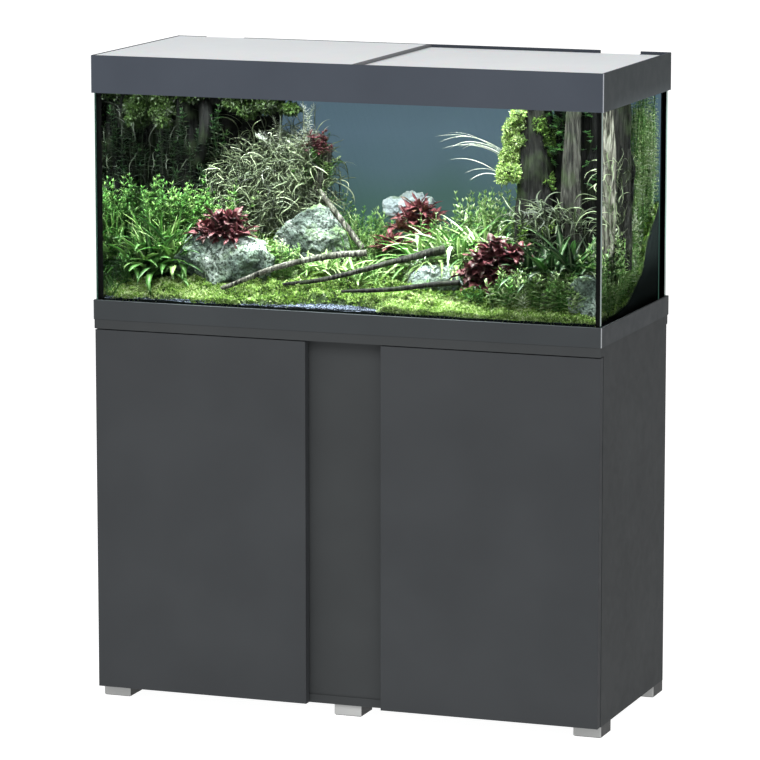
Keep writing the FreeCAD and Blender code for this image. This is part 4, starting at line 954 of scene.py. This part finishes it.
def driftwood_right():
    """The upright trunks on the right, each with its paleness. Gives the first one's surface."""
    batch = Batch()
    trunks = (((284, 46, 850, 38), (296, 40, 1010, 32), (288, 40, 1172, 27), 0.02),
              ((394, -14, 790, 24), (380, -18, 980, 17), (388, -20, 1172, 14), 0.09),
              ((436, 48, 870, 38), (440, 46, 1010, 36), (436, 48, 1172, 36), 0.0),
              ((464, -66, 850, 14), (470, -60, 1000, 13), (468, -80, 1172, 13), 0.6),
              ((470, 10, 850, 22), (472, 14, 1010, 17), (470, 8, 1172, 17), 0.03),
              ((340, 76, 850, 30), (338, 72, 1010, 26), (346, 70, 1172, 24), 0.0),
              ((382, 100, 870, 26), (386, 96, 1010, 26), (384, 98, 1172, 26), 0.0))
    surfaces = [limb(batch, stations, 150, 88, 0.42, 20 + number, paleness, 0.14, 14.0)
                for number, (*stations, paleness) in enumerate(trunks)]
    batch.piece("trunks", "driftwood", "driftwood_right")
    return surfaces[0]


def branches():
    """Three fallen branches along the CAD's, but a quarter thinner, and one that slants by the
    middle stone. Each has its paleness."""
    batch = Batch()
    fallen = (((-261, -168, 802, 6), (-157, -155, 845, 7), (-64, -130, 868, 8), (6, -100, 874, 9),
               0.42),
              ((-143, -152, 814, 4), (-56, -138, 828, 6), (66, -105, 862, 8), (160, -96, 888, 11),
               0.1),
              ((-13, -186, 812, 4), (79, -166, 818, 6), (150, -148, 828, 7), (205, -142, 834, 8),
               0.05),
              ((-140, 30, 972, 6), (-104, 34, 926, 8), (-52, 36, 862, 10), 0.5))
    for number, (*stations, paleness) in enumerate(fallen):
        slender = np.array(stations) * (1, 1, 1, 0.74)
        limb(batch, slender, 150, 28, 0.22, 50 + number, paleness, 0.25, 7.0)
    batch.piece("fallen_branches", "driftwood", "branches")


def bare(x, y):
    """1 on the bare gravel patch at the front and the thin line along the glass, else 0."""
    patch = smooth_step(-(((x + 28) / 94) ** 2 + ((y + 200) / 34) ** 2), -1.3, -0.8)
    shift = 3 * np.sin(x / 31) + 2 * np.sin(x / 11 + 1) + 1.2 * np.sin(x / 4.3)
    edge = np.interp(x, (-160, -60, 60, 110), (191, 196, 198, 212))
    return np.maximum(patch, smooth_step(-y + shift, edge, edge + 5))


def carpet(name, low, high, thickness, count, tint, seed, *replaced, size=(4.5, 8.5)):
    """A cushion of moss on the soil between two corners x, y, covered with leaflets."""
    rng = np.random.default_rng(seed)
    batch = Batch()

    def level(x, y):
        flat = np.column_stack([x, y, 0 * x])
        lumps = (0.7 + 0.5 * lattice_noise(flat, 34.0, seed, 2)
                 + 0.35 * lattice_noise(flat, 11.0, seed + 1, 2))
        fade = (smooth_step(x, low[0] - 12, low[0] + 12)
                * smooth_step(-x, -high[0] - 12, -high[0] + 12)
                * smooth_step(-y, -high[1] - 10, -high[1] + 14))
        cover = fade * (1 - bare(x, y))
        rise = 0.3 + 0.7 * smooth_step(y, -202, -140)
        return ground(x, y) + thickness * lumps * cover * rise - 3 * (1 - cover), cover

    columns, rows = (int((end - start) / 4) + 8 for start, end in zip(low, high))
    front = max(low[1], WATER_LOW[1])
    x, y, _, quads = grid(np.linspace(low[0] - 12, high[0] + 12, columns),
                          np.linspace(front, high[1] + 10, rows))
    batch.add(np.column_stack([x, y, level(x, y)[0]]), [quads], (0.15, 0.3, 0.0))
    spots = within(rng, count, (low[0] - 10, high[0] + 10), (front, high[1] + 8))
    height, cover = level(*spots.T)
    roots = np.column_stack([spots, height - 1])[rng.uniform(size=count) < cover]
    if low[1] <= WATER_LOW[1]:
        roots = np.vstack([roots, moss_at_glass(rng, low[0], high[0], level)])
    kept = len(roots)
    directions = np.column_stack([rng.normal(0, 0.8, (kept, 2)), rng.uniform(0.2, 1.2, kept)])
    clump = lattice_noise(roots, 20.0, seed + 5, 3) * 0.35
    batch.add(*leaflets(rng, roots, directions, rng.uniform(*size, kept),
                        rng.uniform(*size, kept) * 0.62,
                        np.clip(rng.uniform(*tint, kept) + clump, 0, 1)))
    batch.piece(name, "moss", *replaced)


def moss_at_glass(rng, left, right, level):
    """Roots of the moss that grows down the front of a carpet, against the glass."""
    count = int((right - left) * 12)
    front = within(rng, count, (left, right), (1, 4)) + (0, WATER_LOW[1])
    height, cover = level(*front.T)
    roots = np.column_stack([front, rng.uniform(FRAME_TOP - 2, height)])
    return roots[rng.uniform(size=count) < cover]


def mosses(trunk):
    """Carpets on the soil, and moss on the first of the trunks on the right. trunk is that
    trunk's surface."""
    carpet("moss_carpet_left", (-488, -200), (-215, -112), 30, 24000, (0.25, 1.0), 60, "moss")
    carpet("moss_carpet_middle", (-285, -200), (118, -62), 32, 36000, (0.08, 0.86), 61, "moss")
    carpet("moss_carpet_right", (30, -200), (490, -128), 32, 34000, (0.25, 1.0), 62, "moss")
    carpet("moss_low_cover", (-488, -120), (488, 199), 10, 26000, (0.1, 0.6), 64, size=(9, 15))
    rng = np.random.default_rng(63)
    batch = Batch()
    path = curve_through(((272, 20, 1160), (264, 16, 1124), (252, 18, 1086), (244, 20, 1060),
                          (254, 12, 1034), (250, 14, 1012)), 30)
    for number, spot in enumerate(path):
        centre = spot + rng.normal(0, 1, 3) * (8, 4, 5)
        points, normals = blob(batch, centre, rng.uniform(5, 13, 3), 70 + number, 3, 0.45, 12.0)
        moss_cover(batch, rng, points, normals, 640, (2.6, 5.6), (0.2, 1.0))
    points, normals = trunk
    shown = (points[:, 2] > 880) & (normals[:, 1] < 0.3)
    chosen = shown & (lattice_noise(points, 40.0, 77, 2) > 0.22)
    moss_cover(batch, rng, points[chosen], normals[chosen], 3500, (3, 7), (0.05, 0.5))
    batch.piece("moss_on_trunk", "moss", "moss")


def bank_plants_left():
    """Rosettes, ferns and leafy stems on the left bank."""
    batch = Batch()
    rng = np.random.default_rng(100)
    for x, y, length in ((-470, -96, 130), (-432, -104, 150), (-392, -92, 140), (-448, -60, 150),
                         (-404, -52, 150), (-362, -66, 110)):
        rosette(batch, rng, (x, y, ground(x, y) + 10), 26, length, 15, (0.26, 0.68), (8, 66),
                (25, 95))
    thicket(batch, rng, (76, (-434, -22), (52, 24), (90, 150), (0.38, 0.6), (17, 5.4), 10),
            (76, (-345, -14), (50, 24), (70, 132), (0.42, 0.66), (16, 5.4), 9),
            (26, (-470, -130), (16, 40), (30, 76), (0.2, 0.45), (16, 5)))
    tuft(batch, rng, scatter(rng, 130, (-440, -66), (48, 20)), (90, 150), (3, 5.5), (0.4, 0.8))
    tuft(batch, rng, scatter(rng, 70, (-478, -160), (10, 34)), (24, 70), (2, 3.5), (0.3, 0.6))
    batch.piece("bank_plants_left", "green_leaves", "leaf_plants_left", rooted=True)


def shade_plants_left():
    """Leaves in the shade of the roots, and the moss that hangs from them; their low tints paint
    that shade.
    """
    batch = Batch()
    rng = np.random.default_rng(110)
    roots = within(rng, 70, (-486, -340), (20, 70), (900, 1060))
    # Painted shade: the low tints darken these leaves for the shade under the roots.
    bush(batch, rng, roots, (40, 90), (0.0, 0.25), (13, 4), whorls=7)
    batch.piece("shade_plants", "green_leaves")
    batch = Batch()
    strands = within(rng, 56, (-486, -400), (14, 40), (930, 1130))
    # Painted shade: the strands' low tints darken them for the shade under the roots.
    tuft(batch, rng, strands, (30, 90), (1.6, 3.0), (0.0, 0.03), (60, 160), (20, 110), 40.0, 11)
    batch.piece("shade_strands", "grass_leaves")
    batch = Batch()
    for number in range(42):
        x = rng.uniform(-486, -190)
        drop = rng.gamma(1.4, 9.0) * (1.8 if x < -430 else 0.8)
        radii = rng.uniform(8, 22), rng.uniform(8, 16), rng.uniform(5, 11)
        points, normals = blob(batch, (x, rng.uniform(26, 50), 1162 - drop), radii, 120 + number, 3,
                               0.5, 14.0)
        # Painted shade: the moss's low tints darken it for the shade under the roots.
        moss_cover(batch, rng, points, normals, 420, (5, 11), (0.0, 0.14), up=-0.3)
    batch.piece("hanging_moss", "moss")


def grass_mound():
    """The curly pale grass that hangs over the roots."""
    batch = Batch()
    rng = np.random.default_rng(130)
    # Each mound's centre, radii and number of blades.
    mounds = ((-270, 84, 930, 96, 46, 112, 1000), (-205, 84, 950, 62, 40, 90, 560),
              (-322, 78, 916, 56, 40, 70, 460))
    for number, (x, y, z, *radii, count) in enumerate(mounds):
        points, normals = blob(batch, (x, y, z), radii, 140 + number, 5, 0.3)
        front = np.flatnonzero((normals[:, 1] < 0.35) & (normals[:, 2] > -0.45))
        chosen = rng.choice(front, count)
        outward = np.degrees(np.arctan2(normals[chosen, 1], normals[chosen, 0]))
        batch.add(*leaves(rng, points[chosen], outward + rng.normal(0, 50, count),
                          rng.uniform(5, 80, count), rng.uniform(50, 170, count),
                          rng.uniform(40, 110, count), rng.uniform(1.8, 3.4, count),
                          rng.beta(1.3, 2.5, count), "ribbon", segments=10, fold=0.3, sway=60.0,
                          twist=120, slim=True))
    crown = within(rng, 60, (-296, -176), (50, 100), (985, 1050))
    tuft(batch, rng, crown, (50, 130), (1.8, 3.4), (0.4, 1.0), (0, 40), (10, 90), 26.0, 12)
    plumes = within(rng, 13, (-262, -158), (34, 66), (1000, 1070))
    bush(batch, rng, plumes, (50, 104), (0.85, 1.0), (13, 1.3), 16, 6, (0, 34), (0, 60), sway=26.0)
    batch.piece("curly_grass", "grass_leaves", "grass_plants")


def centre_plants():
    """Bushy greens and pale ribbons round the middle stone and in the valley."""
    batch = Batch()
    rng = np.random.default_rng(150)
    thicket(batch, rng, (110, (-186, -72), (46, 26), (36, 84), (0.5, 0.8), (11, 4.4), 8),
            (50, (-300, -30), (70, 16), (30, 60), (0.4, 0.7), (12, 4), 7),
            (60, (-80, 92), (66, 30), (60, 120), (0.4, 0.72), (15, 3.4), 10))
    batch.piece("centre_plants", "green_leaves", rooted=True)
    batch = Batch()
    ledge = within(rng, 40, (-214, -130), (44, 90), (960, 1040))
    bush(batch, rng, ledge, (20, 50), (0.4, 0.8), (12, 3.4), 6, lean=(0, 60))
    thicket(batch, rng, (50, (10, 60), (60, 24), (40, 96), (0.4, 0.72), (12, 3.4), 9),
            (60, (-20, -20), (80, 24), (24, 60), (0.5, 0.8), (10, 3), 7))
    for crown in ((-128, -62, 822), (-92, -58, 824), (-62, -62, 820), (-20, -84, 812)):
        rosette(batch, rng, crown, 16, 74, 7, (0.6, 0.86), (8, 66), (20, 80), "ribbon")
    tuft(batch, rng, scatter(rng, 120, (-70, 60), (60, 34)), (60, 130), (2, 3.4), (0.35, 0.75),
         (0, 45), (10, 60))
    tuft(batch, rng, scatter(rng, 160, (-10, -100), (110, 26)), (24, 62), (1.8, 3), (0.45, 0.78),
         (10, 60), (20, 80))
    batch.piece("valley_plants", "green_leaves", rooted=True)


def plants_right():
    """Pale long-leaved plants, ribbons and dark rosettes on the right."""
    batch = Batch()
    rng = np.random.default_rng(170)
    for x, y, length in ((78, -6, 120), (118, 4, 140), (162, -10, 150), (206, 0, 140),
                         (246, -14, 110), (140, 44, 150), (190, 46, 130)):
        rosette(batch, rng, (x, y, ground(x, y) + 30), 34, length, 8.5, (0.35, 0.98), (6, 70),
                (35, 110))
    thicket(batch, rng, (80, (150, -34), (90, 20), (30, 74), (0.55, 0.9), (13, 3.8), 8),
            (44, (90, 60), (60, 26), (50, 120), (0.5, 0.82), (14, 3.6), 9),
            (62, (196, 76), (62, 26), (90, 160), (0.5, 0.85), (16, 4), 10))
    for x, y, z, length in ((330, -100, 832, 116), (372, -108, 834, 130), (416, -104, 838, 130),
                            (452, -92, 840, 110), (392, -70, 850, 130)):
        rosette(batch, rng, (x, y, z), 20, length, 15, (0.0, 0.32), (10, 64), (15, 80))
    batch.piece("bank_plants_right", "green_leaves", "leaf_plants_right", rooted=True)
    batch = Batch()
    thicket(batch, rng, (190, (370, -150), (84, 28), (34, 84), (0.5, 0.86), (18, 5.6), 8),
            (30, (258, -150), (40, 16), (20, 50), (0.3, 0.6), (14, 3.6), 7))
    batch.piece("front_plants_right", "green_leaves", rooted=True)


def ribbons():
    """Long pale blades that arch away from the trunk, and curly grey leaves below it."""
    batch = Batch()
    rng = np.random.default_rng(190)
    for centre, spread, count, length, width, bend, segments in (
            ((232, 40, 1052), 3, 8, (80, 150), (2.2, 4), (40, 80), 16),
            ((236, 30, 1006), 4, 3, (80, 120), (2, 3.2), (50, 90), 14)):
        crown = np.array(centre) + rng.normal(0, spread, (count, 3))
        tuft(batch, rng, crown, length, width, (0.94, 1.0), (48, 62), bend, 6.0, segments,
             (168, 196), "lance")
    for x, z in ((300, 930), (336, 948), (372, 940), (406, 930), (340, 900)):
        crown = np.array((x, -54, z)) + rng.normal(0, 5, (22, 3))
        tuft(batch, rng, crown, (46, 96), (2.6, 5.0), (0.0, 0.36), (10, 70), (60, 170), 34.0, 14,
             shape="lance")
    batch.piece("arching_blades", "grass_leaves", rooted=True)


def side_plants():
    """What the right-hand pane shows: stems on the slope and needle plants that hang."""
    batch = Batch()
    rng = np.random.default_rng(200)
    thicket(batch, rng, (130, (474, -30), (12, 120), (50, 140), (0.55, 0.95), (16, 4), 10),
            (60, (450, 130), (34, 56), (60, 120), (0.25, 0.6), (15, 3.2), 10))
    batch.piece("side_plants", "green_leaves", rooted=True)
    batch = Batch()
    hung = within(rng, 60, (456, 485), (86, 192), (1090, 1172))
    bush(batch, rng, hung, (140, 220), (0.6, 1.0), (16, 2.6), 22, 5, (168, 180), (0, 8),
         droop=(60, 100))
    batch.piece("hanging_needles", "green_leaves", rooted=True)
    batch = Batch()
    strands = within(rng, 60, (474, 486), (-104, -10), (900, 1060))
    tuft(batch, rng, strands, (50, 100), (2.2, 3.6), (0.25, 0.75), (0, 70), (40, 150), 40.0, 13)
    batch.piece("side_curls", "grass_leaves")


def trunk_leaves():
    """Small lime leaves between the trunks."""
    batch = Batch()
    rng = np.random.default_rng(210)
    roots = np.column_stack([within(rng, 60, (326, 364), (4, 34)),
                             rng.triangular(1010, 1160, 1162, 60)])
    bush(batch, rng, roots, (12, 28), (0.1, 0.42), (8, 4), 4, 4, (20, 120), shape="oval")
    roots = within(rng, 18, (402, 418), (-10, 10), (1010, 1160))
    bush(batch, rng, roots, (8, 22), (0.1, 0.4), (7, 4), 3, 4, (20, 120), shape="oval")
    batch.piece("trunk_leaves", "green_leaves")


def red_plants():
    """Burgundy plants: rosettes on the left stone, in the valley and at the right front, and small
    stems on the grassy mound."""
    batch = Batch()
    rng = np.random.default_rng(220)
    for x, y, z, length in ((-288, -98, 886, 62), (-260, -104, 888, 54), (-314, -100, 888, 54),
                            (-284, -108, 894, 52), (-296, -92, 912, 48), (-270, -96, 916, 42)):
        rosette(batch, rng, (x, y, z), 22, length, 19, (0.0, 0.9), (6, 80), (0, 60), wave=0.4)
    for crown in ((40, 92, 888), (58, 88, 896), (28, 90, 896), (48, 86, 908), (66, 86, 886),
                  (-2, 28, 862), (14, 30, 868), (4, 34, 876), (14, 62, 898), (30, 66, 892),
                  (28, 70, 914), (30, 90, 924), (54, 90, 930), (72, 88, 916), (42, 88, 936)):
        rosette(batch, rng, crown, 14, 40, 12, (0.5, 1.0), (10, 80), (0, 60), wave=0.3,
                segments=6)
    for crown in ((236, -122, 826), (262, -116, 836), (288, -112, 850), (250, -120, 856),
                  (276, -112, 872), (300, -106, 884), (240, -116, 870), (262, -108, 892),
                  (222, -118, 842)):
        rosette(batch, rng, crown, 18, 44, 19, (0.0, 0.85), (10, 85), (0, 70), wave=0.4)
    roots = within(rng, 16, (-164, -132), (36, 60), (1028, 1056))
    bush(batch, rng, roots, (16, 36), (0.2, 0.7), (15, 7), 3, 4, (0, 60))
    batch.piece("burgundy_plants", "red_leaves", "red_plants", rooted=True)


# ---------------------------------------------------------------- stage
def plain_look(name, colour, glow):
    """A dull surface that gives off some white light."""
    made = Look(name, colour, 0.9, Specular_IOR_Level=0.1)
    made.set("Emission Color", (1, 1, 1, 1))
    made.set("Emission Strength", glow)
    return made.material


def stage():
    """A white floor, soft white surroundings that are brighter to the camera than as a light, a key
    light, the lamp's light in the tank and a weak light on its right-hand end."""
    reach = 30000
    corners = np.array([(-reach, -reach, 0), (reach, -reach, 0), (reach, reach, 0),
                        (-reach, reach, 0)], float)
    floor = mesh_object("floor", corners, [np.array([[0, 1, 2, 3]])])
    floor.data.materials.append(plain_look("floor", (0.3, 0.3, 0.3, 1), 0.97))
    world = bpy.data.worlds.new("white")
    bpy.context.scene.world = world
    world.use_nodes = True
    nodes, links = world.node_tree.nodes, world.node_tree.links
    background = nodes["Background"]
    background.inputs["Color"].default_value = (1, 1, 1, 1)
    brightness = nodes.new("ShaderNodeMapRange")
    brightness.inputs["To Min"].default_value = 0.6
    brightness.inputs["To Max"].default_value = 1.0
    links.new(nodes.new("ShaderNodeLightPath").outputs["Is Camera Ray"], brightness.inputs["Value"])
    links.new(brightness.outputs["Result"], background.inputs["Strength"])
    bpy.context.scene.view_settings.view_transform = "Standard"
    key = area_light("key", (0.3, -3.7, 3.9), (math.radians(51), 0, math.radians(5)), 2.4, 2.4, 125)
    lamp = area_light("lamp_light", (0, -0.09, (BRACE_UNDER - 1) * MM), (math.radians(4), 0, 0),
                      0.96, 0.2, 15)
    lamp.data.spread = math.radians(96)
    lamp.data.color = (0.96, 1.0, 1.0)
    fill = area_light("side_fill", (0.62, 0.03, 1.0), (0, math.radians(90), 0), 0.3, 0.38, 1.2)
    fill.data.spread = math.radians(50)
    fill.visible_glossy = False
    for light in (key, lamp, fill):
        light.visible_camera = False


def area_light(name, place, turn, length, width, power):
    """A rectangular light; its place, length and width are in metres."""
    data = bpy.data.lights.new(name, "AREA")
    data.shape = "RECTANGLE"
    data.size, data.size_y = length, width
    data.energy = power
    made = bpy.data.objects.new(name, data)
    made.location = place
    made.rotation_euler = turn
    bpy.context.scene.collection.objects.link(made)
    return made


def camera():
    """A long lens, seen from the right and a little above, without shift or blur."""
    data = bpy.data.cameras.new("camera")
    made = bpy.data.objects.new("camera", data)
    bpy.context.scene.collection.objects.link(made)
    data.sensor_width = 36.0
    data.lens = 212.25
    tilt, turn = 0.1690, 0.3511
    made.location = (2.8976, -7.9215, 2.0548)
    made.rotation_euler = (math.pi / 2 - tilt, 0, turn)
    bpy.context.scene.camera = made


camera()
stage()
paint_cad_nodes()
gravel_bed()
rocks()
driftwood_left()
right_trunk = driftwood_right()
branches()
mosses(right_trunk)
bank_plants_left()
shade_plants_left()
grass_mound()
centre_plants()
plants_right()
ribbons()
side_plants()
trunk_leaves()
red_plants()
